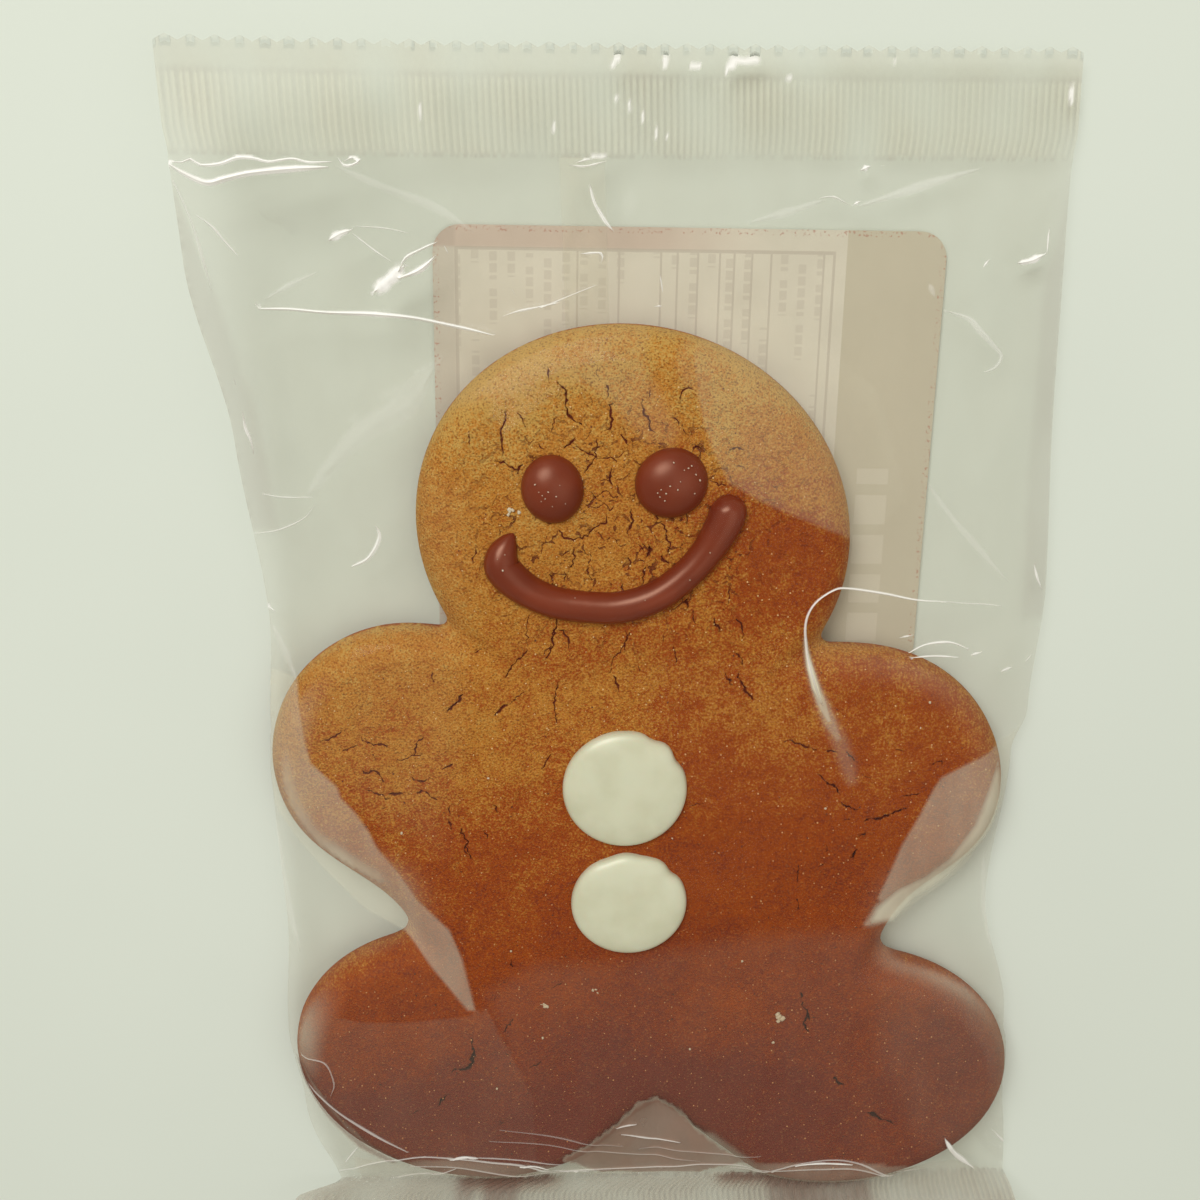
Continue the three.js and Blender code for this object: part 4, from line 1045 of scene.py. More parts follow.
def new_tree(name, inputs):
    """A node tree with a geometry input and output and named inputs, and the input sockets by name."""
    tree = bpy.data.node_groups.new(name, "GeometryNodeTree")
    tree.is_modifier = True
    face = tree.interface
    face.new_socket("Geometry", in_out="INPUT", socket_type="NodeSocketGeometry")
    face.new_socket("Geometry", in_out="OUTPUT", socket_type="NodeSocketGeometry")
    for label, kind in inputs.items():
        face.new_socket(label, in_out="INPUT", socket_type="NodeSocket" + kind)
    return tree, add(tree, "NodeGroupInput").outputs


def run_tree(name, tree, carrier, values):
    """Runs a tree as a modifier on a carrier object, which it uses up, and returns a plain mesh."""
    modifier = carrier.modifiers.new(tree.name, "NODES")
    modifier.node_group = tree
    for item in tree.interface.items_tree:
        if item.item_type == "SOCKET" and item.in_out == "INPUT" and item.name in values:
            modifier[item.identifier] = values[item.name]
    bpy.context.view_layer.update()
    ready = carrier.evaluated_get(bpy.context.evaluated_depsgraph_get())
    mesh = bpy.data.meshes.new_from_object(ready)
    mesh.name = name
    bpy.data.objects.remove(carrier)
    return mesh


def finish_tree(tree, geometry, material):
    made = add(tree, "GeometryNodeRealizeInstances", {0: geometry})
    painted = add(tree, "GeometryNodeSetMaterial", {"Geometry": made.outputs[0], "Material": material})
    add(tree, "NodeGroupOutput", {0: painted.outputs[0]})


def own_axes(tree):
    return split(tree, add(tree, "GeometryNodeInputPosition").outputs[0])


def moved_to(tree, geometry, x, y, z):
    """The geometry with its points moved to these axes."""
    place = add(tree, "ShaderNodeCombineXYZ", {0: x, 1: y, 2: z}).outputs[0]
    return add(tree, "GeometryNodeSetPosition", {"Geometry": geometry, "Position": place}).outputs[0]


def crimped_strip_tree(material):
    """A flat strip with ridges pressed in along its depth and a zigzag along its cut edge."""
    sizes = ("Width", "Depth", "Ridge Pitch", "Ridge Height", "Ridged Share", "Tooth Pitch", "Tooth Height")
    kinds = {**dict.fromkeys(sizes, "Float"), "Columns": "Int", "Rows": "Int"}
    tree, given = new_tree("crimped_strip", kinds)
    counts = {"Vertices X": given["Columns"], "Vertices Y": given["Rows"]}
    grid = add(tree, "GeometryNodeMeshGrid", {"Size X": given["Width"], "Size Y": 1.0, **counts}).outputs[0]
    x, y, _ = own_axes(tree)
    share = calculate(tree, "ADD", y, 0.5)
    turns = calculate(tree, "DIVIDE", x, given["Ridge Pitch"])
    wave = calculate(tree, "SINE", product(tree, turns, math.tau))
    half = product(tree, given["Ridge Height"], 0.5)
    ends = product(tree, ramped(tree, share, 0.0, 0.06), ramped(tree, share, given["Ridged Share"], 0.72))
    ridge = product(tree, product(tree, wave, half), ends)
    half_tooth = product(tree, given["Tooth Pitch"], 0.5)
    zigzag = calculate(tree, "DIVIDE", calculate(tree, "PINGPONG", x, half_tooth), half_tooth)
    tooth = product(tree, zigzag, given["Tooth Height"], ramped(tree, share, 0.86, 1.0))
    out = calculate(tree, "ADD", product(tree, share, given["Depth"]), tooth)
    finish_tree(tree, moved_to(tree, grid, x, out, ridge), material)
    return tree


def scatter_tree(material):
    """Little many-sided grains strewn over the carrier's faces."""
    kinds = {"Density": "Float", "Smallest": "Float", "Largest": "Float", "Flatness": "Float", "Seed": "Int"}
    tree, given = new_tree("strewn_grains", kinds)
    inputs = {"Mesh": given["Geometry"], "Density": given["Density"], "Seed": given["Seed"]}
    strewn = add(tree, "GeometryNodeDistributePointsOnFaces", inputs)
    grain = add(tree, "GeometryNodeMeshIcoSphere", {"Radius": 1.0, "Subdivisions": 1})
    size = add(tree, "FunctionNodeRandomValue", data_type="FLOAT")
    sizes = [socket for socket in size.inputs if socket.type == "VALUE"]
    tree.links.new(given["Smallest"], sizes[0])
    tree.links.new(given["Largest"], sizes[1])
    tree.links.new(given["Seed"], size.inputs["Seed"])
    amount = next(socket for socket in size.outputs if socket.type == "VALUE")
    flat = product(tree, amount, given["Flatness"])
    shape = add(tree, "ShaderNodeCombineXYZ", {0: amount, 1: amount, 2: flat})
    turn = add(tree, "FunctionNodeRandomValue", data_type="FLOAT_VECTOR")
    turn.inputs[1].default_value = (0.6, 0.6, math.tau)
    sockets = {"Points": strewn, "Instance": grain, "Rotation": turn, "Scale": shape}
    inputs = {socket: node.outputs[0] for socket, node in sockets.items()}
    finish_tree(tree, add(tree, "GeometryNodeInstanceOnPoints", inputs).outputs[0], material)
    return tree


def piped_bead_tree(material):
    """A piped bead of icing along a curve: as wide as the curve's radius says, flattened below."""
    kinds = {"Height": "Float", "Base": "Float", "Sides": "Int"}
    tree, given = new_tree("piped_bead", kinds)
    ring = add(tree, "GeometryNodeCurvePrimitiveCircle", {"Resolution": given["Sides"], "Radius": 1.0})
    radius = add(tree, "GeometryNodeInputRadius").outputs[0]
    path = add(tree, "GeometryNodeMeshToCurve", {0: given["Geometry"]})
    inputs = {"Curve": path.outputs[0], "Profile Curve": ring.outputs[0], "Scale": radius, "Fill Caps": True}
    bead = add(tree, "GeometryNodeCurveToMesh", inputs).outputs[0]
    x, y, z = own_axes(tree)
    foot = calculate(tree, "MAXIMUM", product(tree, z, given["Height"]), -0.0005)
    raised = calculate(tree, "ADD", foot, given["Base"])
    smooth = add(tree, "GeometryNodeSetShadeSmooth", {0: moved_to(tree, bead, x, y, raised)})
    finish_tree(tree, smooth.outputs[0], material)
    return tree


# ---- Cookie ----


def rough_cracks():
    """The cracks as jagged lines, each with half its width along it."""
    draw = np.random.default_rng(SEED)
    made = []
    for size, *points in CRACKS:
        line = smooth_line(points, 0.36)
        line = beside(line, draw.normal(0, 0.13, len(line)))
        taper = np.sqrt(np.sin(np.linspace(0.15, math.pi - 0.15, len(line))))
        half = (CRACK_HALF + CRACK_STEP * size) * taper * draw.uniform(0.15, 1.8, len(line))
        made.append((line, half))
    return made


def baked_share(x, y):
    """How baked the crust looks: 0 golden at the head and left arm, 1 browned, 2 deep at the feet, with
    painted light in it.
    """
    # Each term below lightens or darkens the crust. Besides real browning they hold painted light: paler at
    # the brow, darker towards the feet and heels where the light falls off.
    slope = 0.1 + 0.5 * ease(x, -30, 14) + 0.6 * ease(-y, -4, 27)
    cheek = 0.3 * ease(x, 8, 20) * ease(y, 8, 16)
    face = 0.27 * bell(x, y, -8, 28, 15, 13)
    brow = 0.75 * ease(y, 33, 50) * (1 - 0.3 * ease(x, 10, 25))
    deep = 0.95 * np.clip((-15 - y) / 54, 0, 1) * (1 - 0.25 * ease(x, 0, 40))
    hips = 0.2 * bell(x, y, 8, -51, 24, 12)
    side = 0.06 * bell(x, y, -22, -26, 12, 12)
    shin = 0.2 * bell(x, y, -43, -48, 11, 7)
    heel = 0.25 * ease(-y, 62, 76) * (1 - ease(x, -10, 20))
    chest = 0.16 * bell(x, y, -10, 5, 20, 7)
    elbow = 0.3 * ease(x, 28, 44) * ease(y, -9, 2)
    # Paler under the pale veil on the head's upper right: painted reflection.
    crown = 0.6 * ease((y - 34.8) + 0.53 * (x - 12.6), -2, 2) * ease(x, 4, 14)
    level = np.clip(slope + cheek + chest + elbow - face - side - crown - brow, -0.75, 1)
    return level + deep + heel - hips - shin + 0.05 * waves(x, y, 24, 8)


def crazed_share(x, y):
    """How crazed the skin is: most round the eyes and nose, and in patches there."""
    face = ((x + 3) / 22) ** 2 + ((y - 28) / 17) ** 2
    return np.clip(np.exp(-(face**2)) * (0.54 + 0.45 * waves(x, y, 5, 9)) + 0.05, 0, 0.85)


def cookie_top_sheet(cookie):
    outline = cookie_outline(OUTLINE_STEP)
    rings = [onto_outline(outline, inset)[0] for inset in TOP_RINGS]
    inner = points_on_cookie(cookie.fineness / MM, 2.05, SEED + 1)
    cracks = rough_cracks()
    lines = [beside(line, half * side) for line, half in cracks for side in (-1, 0, 1)]
    points, faces = triangulate(outline, np.concatenate([*rings, inner]), lines)
    x, y = points[:, 0], points[:, 1]
    inside = np.maximum(-cookie_distance(x, y), 0)
    swell = 0.6 * waves(x, y, 10, 4) + 0.35 * waves(x, y, 3.6, 5) + 0.3 * waves(x, y, 1.5, 6)
    height = cookie_profile(inside) + cookie.swell / MM * swell * ease(inside, 0.3, 4)
    dark, deep = np.zeros(len(points)), np.zeros(len(points))
    for line, half in cracks:
        index, share = near_line(points, line, half)
        deep[index] = np.maximum(deep[index], share * float(half.max()))
        dark[index] = np.maximum(dark[index], share)
    height -= cookie.crack_depth * deep
    # A pale rim about 1 mm wide: painted light that takes out the shade of the cookie's rounded edge.
    browning_with_painted_light = baked_share(x, y) - 0.5 * np.exp(-inside / 1.1)
    values = {"browning_with_painted_light": browning_with_painted_light, "craze": crazed_share(x, y), "crack": dark}
    return np.column_stack([points, height]), faces, values


def cookie_lower_sheet():
    outline = cookie_outline(OUTLINE_STEP)
    rings = [onto_outline(outline, inset)[0][::step] for inset, step in LOWER_RINGS]
    inner = points_on_cookie(1.8, 3, SEED + 2)
    points, faces = triangulate(outline, np.concatenate([*rings, inner]), [])
    x, y = points[:, 0], points[:, 1]
    height = cookie_underside(-cookie_distance(x, y))
    values = {"browning_with_painted_light": np.ones(len(x)), "craze": np.zeros(len(x)), "crack": np.zeros(len(x))}
    return np.column_stack([points, height]), faces[:, ::-1], values


def fleck_sheets(flecks, detail):
    """Little lumps: x, y, length, breadth and the height that each lies at."""
    draw = np.random.default_rng(SEED + 3)
    shape = bmesh.new()
    bmesh.ops.create_icosphere(shape, subdivisions=detail, radius=1)
    ball = np.array([corner.co for corner in shape.verts])
    faces = np.array([[corner.index for corner in face.verts] for face in shape.faces])
    shape.free()
    sheets, parts = [], []
    for x, y, length, breadth, base in flecks:
        if length < CLUMP_LENGTH:
            parts.append((x, y, length, breadth, base))
            continue
        for _ in range(CLUMP_PARTS):
            size = draw.uniform(0.3, 0.62) * breadth
            off = draw.normal(0, 0.27, 2) * (length, breadth)
            parts.append((x + off[0], y + off[1], size * 1.3, size, base))
    for x, y, length, breadth, base in parts:
        turn = draw.uniform(0, math.pi)
        size = np.array([length, breadth, min(length, breadth) * 0.7]) / 2
        lump = ball * size * draw.uniform(0.72, 1.15, (len(ball), 1))
        along = lump[:, 0] * math.cos(turn) - lump[:, 1] * math.sin(turn)
        across = lump[:, 0] * math.sin(turn) + lump[:, 1] * math.cos(turn)
        sheets.append((np.column_stack([x + along, y + across, base + 0.05 + lump[:, 2]]), faces, {}))
    return sheets


# ---- Icing ----


def dome_sheet(middle, reach, height, squareness, tuck, lean=(0, 0), dips=()):
    """A closed dome of set icing. reach is its half width at an angle, squareness 2 is round and
    more is flatter on top, tuck is how far its foot turns under, and dips are dents of its rim."""
    rings, sides = 26, 72
    angles = np.linspace(0, math.tau, sides, endpoint=False)
    radius = reach(angles)
    for turn, depth, spread in dips:
        gap = np.abs((angles - math.radians(turn) + math.pi) % math.tau - math.pi)
        radius = radius - depth * np.exp(-((gap / math.radians(spread)) ** 2))
    turns = np.linspace(0, math.pi / 2 + tuck, rings + 1)[1:]
    outward = np.abs(np.sin(turns)) ** (2 / squareness)
    upward = np.sign(np.cos(turns)) * np.abs(np.cos(turns)) ** (2 / squareness)
    lift = height * np.where(upward > 0, upward, upward * 0.5)
    x = outward[:, None] * radius * np.cos(angles) + lean[0] * np.maximum(upward, 0)[:, None]
    y = outward[:, None] * radius * np.sin(angles) + lean[1] * np.maximum(upward, 0)[:, None]
    z = np.broadcast_to(lift[:, None], x.shape)
    ends = [[lean[0], lean[1], height], [0, 0, lift[-1]]]
    points = np.vstack([np.stack([x, y, z], 2).reshape(-1, 3), ends])
    points += np.array([middle[0], middle[1], COOKIE_TOP - 0.1])
    faces = []
    for side in range(sides):
        after = (side + 1) % sides
        faces.append((rings * sides, side, after))
        faces.append((rings * sides + 1, (rings - 1) * sides + after, (rings - 1) * sides + side))
        for ring in range(rings - 1):
            start = ring * sides
            faces.append((start + side, start + sides + side, start + sides + after, start + after))
    return points, faces, {}


def oval(half_x, half_y, turn=0.0, egg=0.0):
    def reach(angles):
        along = np.cos(angles - turn) / half_x
        across = np.sin(angles - turn) / half_y
        return (1 + egg * np.sin(angles)) / np.hypot(along, across)

    return reach


# ---- Film ----


def uneven_folds():
    """The folds as lines, each thinning to its ends and waxing and waning on the way."""
    draw = np.random.default_rng(SEED + 7)
    made = []
    for rise, width, white, *points in FOLDS:
        line = smooth_line(points, 0.5)
        way = np.linspace(0, math.pi, len(line))
        pulse = 0.85 + 0.15 * np.sin(way * draw.uniform(2, 5) + draw.uniform(0, 6))
        half = 0.62 * width * np.maximum(np.sin(way), 0.02) ** 0.5 * pulse
        made.append((rise, np.maximum(half, 0.04), white, line))
    return made


def film_haze_and_reflections(points):
    """How milky the film looks: veils and pale rims of painted reflection, and a thin haze where it is slack.
    """
    x, y = points[:, 0], points[:, 1]
    outside = cookie_distance(x, y)
    haze_and_painted_light = 0.035 * ease(outside, -0.6, 1.5) + 0.02 * np.exp(-((outside / 1.1) ** 2))
    for middle_x, middle_y, reach, strength, width, end in RIM_REFLECTIONS:
        band = np.exp(-(((outside - end + width / 3) / width) ** 2))
        band *= 1 - ease(outside, end - 0.6, end + 0.6)
        haze_and_painted_light += strength * bell(x, y, middle_x, middle_y, reach, reach) * band
    for strength, softness, *corners in VEIL_REFLECTIONS:
        haze_and_painted_light = np.maximum(haze_and_painted_light, strength * patch_share(points, corners, softness))
    return haze_and_painted_light


def film_body_rim(columns):
    """Points round the filled part of the bag, anticlockwise from its lower left corner."""
    corner_left, corner_right = (float(side[0]) for side in film_sides(np.array([FOLD_Y])))
    root_left, root_right = (float(side[0]) for side in film_sides(np.array([SEAL_ROOT_Y])))
    foot_x = np.linspace(corner_left, corner_right, columns)
    root_x = np.linspace(root_left, root_right, columns)
    share = np.linspace(0, 1, SIDE_POINTS)[1:-1]
    left_y = mix(fold_y(corner_left), seal_root_y(root_left), share)
    right_y = mix(fold_y(corner_right), seal_root_y(root_right), share)
    foot = np.column_stack([foot_x, fold_y(foot_x)])
    root = np.column_stack([root_x, seal_root_y(root_x)])
    right = np.column_stack([film_sides(right_y)[1], right_y])
    left = np.column_stack([film_sides(left_y)[0], left_y])
    return np.concatenate([foot, right, root[::-1], left[::-1]]), foot, root


def closing_in(rim, shares):
    """The rim's points again, drawn in towards the middle of the bag by each share."""
    return [rim + (np.array(RIM_CENTRE) - rim) * share for share in shares]


def within(points, margin):
    return points[edge_distances(points[:, 0], points[:, 1])[1] > margin]


def runs_within(line, margin):
    """The parts of a line that lie that far inside the bag's rim."""
    kept = np.flatnonzero(edge_distances(line[:, 0], line[:, 1])[1] > margin)
    parts = np.split(kept, np.flatnonzero(np.diff(kept) > 1) + 1)
    return [line[part] for part in parts if len(part) > 1]


def film_front_sheet(film, rim):
    folds = uneven_folds()
    lines = []
    for _, half, _, line in folds:
        lines += [part for side in FOLD_STRIPS for part in runs_within(beside(line, half * side), 0.3)]
    for _, softness, *corners in VEIL_REFLECTIONS:
        closed = smooth_line([*corners, corners[0]], 0.7)
        for offset in (-softness, 0, softness):
            lines += runs_within(beside(closed, offset), 0.45)
    rings = [within(part, 0.2) for part in closing_in(rim, FRONT_RINGS)]
    inner = lattice(film.fineness / MM, rim.min(0), rim.max(0), np.random.default_rng(SEED + 4))
    inner = np.concatenate([*rings, within(inner, 1.2)])
    points, faces = triangulate(rim, inner, lines)
    x, y = points[:, 0], points[:, 1]
    glint = np.zeros(len(points))
    height = film_front(x, y, film.slack / MM)
    # Each fold is a real ridge with a painted glint along it.
    for rise, half, white, line in folds:
        index, share = near_line(points, line, half)
        glint[index] = np.maximum(glint[index], white * ease(share, 0, 0.5))
        index, share = near_line(points, line, half * 2)
        height[index] += film.fold_height * rise * share**2
    haze_and_painted_light, brown_shade_and_reflection = film_haze_and_reflections(points), np.zeros(len(points))
    # Painted brown reflections of the cookie, and painted shade.
    for strength, brown, softness, *corners in SMOKE:
        share = patch_share(points, corners, softness)
        haze_and_painted_light, brown_shade_and_reflection = np.maximum(haze_and_painted_light, strength * share), np.maximum(brown_shade_and_reflection, share * brown)
    return np.column_stack([points, height]), faces, {"haze_and_painted_light": haze_and_painted_light, "brown_shade_and_reflection": brown_shade_and_reflection, "glint": glint}


def film_back_sheet(film, rim):
    """The back sheet, with the lap seam that closes the tube as a milky band down its middle."""
    rings = [within(part, 0.2)[::2] for part in closing_in(rim, BACK_RINGS)]
    inner = lattice(1.7, rim.min(0), rim.max(0), np.random.default_rng(SEED + 5))
    inner = np.concatenate([*rings, within(inner, 1.9)])
    left, right = LAP_EDGES
    ys = np.arange(FOLD_Y + 1, SEAL_ROOT_Y - 0.5, 1.0)
    steps = (left, right, left - LAP_STEP, right + LAP_STEP)
    lines = [within(np.column_stack([np.full(len(ys), x), ys]), 0.4) for x in steps]
    points, faces = triangulate(rim, inner, lines)
    x, y = points[:, 0], points[:, 1]
    lapped = ease(x, left - LAP_STEP, left) * (1 - ease(x, right, right + LAP_STEP))
    # A faint brown haze all over, painted shade of the table under the pack; the lap seam is milkier.
    haze_and_painted_light, brown_shade_and_reflection = 0.07 + film.lap_haze * lapped, 0.6 - 0.3 * lapped
    values = {"haze_and_painted_light": haze_and_painted_light, "brown_shade_and_reflection": brown_shade_and_reflection, "glint": np.zeros(len(points))}
    return np.column_stack([points, film_back(x, y) + LAP_HEIGHT * lapped]), faces[:, ::-1], values


def seal_sheets(film, strip, root, depth, leaning):
    """Both sheets of an end seal, from one flat crimped strip that is bent into its place."""
    flat = np.array([corner.co for corner in strip.vertices]) / MM
    faces = np.array([face.vertices[:] for face in strip.polygons])
    share = flat[:, 0] / SEAL_WIDTH + 0.5
    out = flat[:, 1]
    root_x = mix(root[0, 0], root[-1, 0], share)
    x = mix(root_x, flat[:, 0], ease(out, 0, 4))
    line_y = fold_y if leaning else seal_root_y
    root_y = line_y(x)
    base = seam_height(root_x, line_y(root_x))
    cut = ease(out / depth, 0.9, 1.0)
    gap = sheet_gap(np.minimum(share, 1 - share) * (root[-1, 0] - root[0, 0])) * (1 - cut)
    ridged = np.abs(flat[:, 2] / (film.ridge_height / MM / 2))
    pressed = 1 - ease(out / depth, film.ridged_share - 0.02, film.ridged_share + 0.02)
    patched = within_stretches(x, FOOT_PATCHES, 1) * leaning
    mirrored = within_stretches(x, FOOT_MIRRORED, 2) * leaning * (1 - ease(out, 0.8, 4.5))
    # Painted shade in the valleys between the ridges, most in the pressed zone and on the flap, and painted
    # brown reflections of the feet on the foot seal.
    dark = np.clip((1 - ridged) * (0.3 + 0.55 * pressed) + patched * 0.5 + 0.4 * leaning, 0, 1)
    # The crimped film's own milkiness, raised on the crests of the ridges as a painted highlight.
    uneven = 1 + 0.2 * waves(x, out, 13, 31) + 0.7 * leaning
    haze_and_painted_light = film.seal_haze * (1 + 0.5 * ridged**3) * uneven + 0.12 * patched
    dark, haze_and_painted_light = np.maximum(dark, mirrored), haze_and_painted_light + 0.3 * mirrored
    # Painted glints of the folds that cross the head seal, on its upper sheet.
    glint = np.zeros(len(haze_and_painted_light))
    if not leaning:
        for _, half, white, line in uneven_folds():
            index, close = near_line(np.column_stack([x, root_y + out]), line, half * 1.3)
            glint[index] = np.maximum(glint[index], white * ease(close, 0, 0.6))
    glint *= 1 - ease(out / depth, 0.9, 0.96)
    sine, cosine, bent = math.sin(FLAP_LEAN), math.cos(FLAP_LEAN), ease(out, 0, 1.5)
    sheets = []
    for side in (1, -1):
        values = {"haze_and_painted_light": haze_and_painted_light, "brown_shade_and_reflection": dark, "glint": glint if side > 0 else glint * 0}
        lift = flat[:, 2] + side * gap
        y, z = root_y + out, base + lift
        if leaning:
            y = root_y - out * sine - lift * cosine * bent
            z = base + out * cosine + lift * mix(1, -sine, bent)
        shown = (side > 0) != leaning
        sheets.append((np.column_stack([x, y, z]), faces if shown else faces[:, ::-1], values))
    return sheets


# ---- Settings ----


def colour_setting(name, description, code):
    limits = {"subtype": "COLOR", "min": 0, "max": 1}
    return FloatVectorProperty(name=name, description=description, default=linear(code), **limits)


def number_setting(name, description, amount, **limits):
    return FloatProperty(name=name, description=description, default=amount, **limits)


def length_setting(name, description, millimetres):
    limits = {"subtype": "DISTANCE", "unit": "LENGTH", "precision": 5}
    return number_setting(name, description, millimetres * MM, **limits)


def share_setting(name, description, amount):
    return number_setting(name, description, amount, subtype="FACTOR", min=0, max=1)


def angle_setting(name, description, degrees):
    return number_setting(name, description, math.radians(degrees), subtype="ANGLE")


class CookieSettings(bpy.types.PropertyGroup):
    fineness: length_setting("Fineness", "Spacing of the points on the baked top", 0.5)
    swell: length_setting("Swell", "Usual height of the unevenness of the top", 0.11)
    crack_depth: number_setting("Crack Depth", "Depth of a crack for each half width", 1.1)
    # The crust's colours from pale to deep also serve as painted light: pale at the brow, deep towards the
    # feet.
    pale: colour_setting("Pale", "Crust at the brow, hardly coloured", "#c89e50")
    golden: colour_setting("Golden", "Crust that has taken little heat", "#be7f2e")
    browned: colour_setting("Browned", "Crust that has taken more heat", "#9d460a")
    deep: colour_setting("Deep", "Crust that has taken most heat", "#6f2a1c")
    grain_light: colour_setting("Light Grain", "Sugar and flour grains in the crust", "#dbaa60")
    grain_dark: colour_setting("Dark Grain", "Spice and burnt grains in the crust", "#66290c")
    # The cracks' colours are painted shade in the grooves.
    crack: colour_setting("Crack", "Inside of the cracks", "#64250f")
    crack_deep: colour_setting("Deep Crack", "Inside of the cracks of the browned crust", "#3a1a12")
    grains: number_setting("Grains", "Loose grains on each square metre", 190000)
    grain_small: length_setting("Smallest Grain", "Radius of the smallest loose grain", 0.05)
    grain_large: length_setting("Largest Grain", "Radius of the largest loose grain", 0.17)


class IcingSettings(bpy.types.PropertyGroup):
    cocoa: colour_setting("Cocoa", "Body of the cocoa icing", "#772e18")
    cocoa_rim: colour_setting("Cocoa Cloud", "Cloudy parts of the cocoa icing", "#6b2614")
    cocoa_sheen: colour_setting("Cocoa Sheen", "Tint of the cocoa icing's highlights", "#ffd0b4")
    sugar: colour_setting("Sugar", "Body of the white icing", "#d6d8be")
    sugar_rim: colour_setting("Sugar Cloud", "Cloudy parts of the white icing", "#cdceb2")
    eye_height: length_setting("Eye Height", "Height of the eyes over the cookie", 3.4)
    button_height: length_setting("Button Height", "Height of the buttons over the cookie", 2.3)
    smile_height: number_setting("Smile Height", "Height of the smile for each half width", 0.95)


class FilmSettings(bpy.types.PropertyGroup):
    fineness: length_setting("Fineness", "Spacing of the points on the front sheet", 0.8)
    ridge_pitch: length_setting("Ridge Pitch", "Pitch of the crimp ridges", 1.86)
    ridge_height: length_setting("Ridge Height", "Height of the crimp ridges", 0.3)
    ridged_share: share_setting("Ridged Share", "Share of a seal's depth that is ridged", 0.78)
    tooth_pitch: length_setting("Tooth Pitch", "Pitch of the zigzag cut", 3.15)
    tooth_height: length_setting("Tooth Height", "Height of the zigzag cut", 0.85)
    slack: length_setting("Slack", "Usual height of the swells of the slack film", 0.5)
    fold_height: number_setting("Fold Height", "Multiplies the height of all folds", 1.0)
    tint: colour_setting("Tint", "What the film lets through", "#fdfdfc")
    # The milk colour also paints reflections of the pale room, the smoke colour paints brown reflections and
    # shade, and the white below paints the glints along the folds.
    milk_and_reflection: colour_setting("Milk", "The milky look of lifted film", "#eae8cf")
    smoke: colour_setting("Smoke", "Where it mirrors the cookie or doubles up", "#8a6454")
    glint_white: colour_setting("Crease", "The white of sharp folds", "#fbfbf6")
    seal_haze: share_setting("Seal Haze", "Milkiness of each sheet in the crimped seals", 0.09)
    lap_haze: share_setting("Lap Haze", "How milky the lap seam is", 0.12)


class LabelSettings(bpy.types.PropertyGroup):
    row_pitch: length_setting("Row Pitch", "Pitch of the printed rows", 2.66)
    paper: colour_setting("Paper", "The label's paper", "#dfdac9")
    paper_aged: colour_setting("Paper Cloud", "Unevenness of the paper", "#d8d3c2")
    panel: colour_setting("Panel", "The tinted panel at the label's right", "#c8c1ab")
    ink: colour_setting("Ink", "The grey of the rules and bars", "#a4968a")
    register_red: colour_setting("Edge Red", "Ink specks along the cut edge", "#b06a58")


class StageSettings(bpy.types.PropertyGroup):
    floor: colour_setting("Floor", "The table top", "#d9e1d6")
    floor_shade: colour_setting("Floor Shade", "Unevenness of the table top", "#d3dbd0")
    sky: colour_setting("Room", "The light of the room", "#fff6e6")
    sky_strength: number_setting("Room Strength", "Strength of the room's light", 0.41)
    key_power: number_setting("Key Power", "Power of the key light in watts", 6.9)
    fill_power: number_setting("Fill Power", "Power of the fill light in watts", 1.08)
    lens: number_setting("Lens", "Focal length on a 36 mm sensor", 40.5)
    distance: length_setting("Distance", "Camera to the aimed point", 212)
    tilt: angle_setting("Tilt", "Camera's lean towards the head", 16.6)
    roll: angle_setting("Roll", "Camera's turn about its own line of sight", -1.7)


# ---- Operators ----


class GINGERBREAD_OT_cookie(bpy.types.Operator):
    """Bakes the cookie: a rolled slab with rounded edges, swells and cracks"""

    bl_idname = "gingerbread.cookie"
    bl_label = "Cookie"

    def execute(self, context):
        cookie = context.scene.gingerbread_cookie
        sheets = [cookie_top_sheet(cookie), cookie_lower_sheet()]
        piece = make_piece("cookie", sheets, gingerbread_material(cookie), weld=0.03)
        finish_piece(piece)
        return {"FINISHED"}


class GINGERBREAD_OT_grains(bpy.types.Operator):
    """Strews loose sugar and flour over the cookie's top"""

    bl_idname = "gingerbread.grains"
    bl_label = "Grains"

    def execute(self, context):
        cookie = context.scene.gingerbread_cookie
        outline = onto_outline(cookie_outline(OUTLINE_STEP), 0.6)[0]
        points, faces = triangulate(outline, points_on_cookie(3, 2, SEED + 6), [])
        height = cookie_profile(-cookie_distance(points[:, 0], points[:, 1]))
        tops = np.column_stack([points, height])
        pale = crumb_material("sugar_and_flour", "#e0ba7e", "#b4703e", (8, -44))
        burnt = crumb_material("spice_grains", "#6b3517", "#4f2410", (40, -60))
        white = crumb_material("coarse_sugar", "#d8ccb0", "#bfa98a", (40, -80))
        for name, material, share, seed in (("pale_grains", pale, 1.0, 21), ("spice_grains", burnt, 0.2, 22)):
            strewn = make_piece(name + "_field", [(tops, faces, {})], material)
            values = {
                "Density": cookie.grains * share,
                "Smallest": cookie.grain_small,
                "Largest": cookie.grain_large,
                "Flatness": 0.7,
                "Seed": seed,
            }
            mesh = run_tree(name, scatter_tree(material), strewn, values)
            finish_piece(link_object(name, mesh))
        lumps = [(*fleck, COOKIE_TOP) for fleck in FLECKS]
        flecks = make_piece("sugar_flecks", fleck_sheets(lumps, 2), white)
        finish_piece(flecks)
        return {"FINISHED"}


def cocoa_icing(name, icing, roughness):
    return icing_material(name, icing.cocoa, icing.cocoa_rim, icing.cocoa_sheen, roughness, 0.05, 6)


def sugar_icing(name, icing):
    return icing_material(name, icing.sugar, icing.sugar_rim, (1, 1, 0.9), 0.38, 0.1, 5)


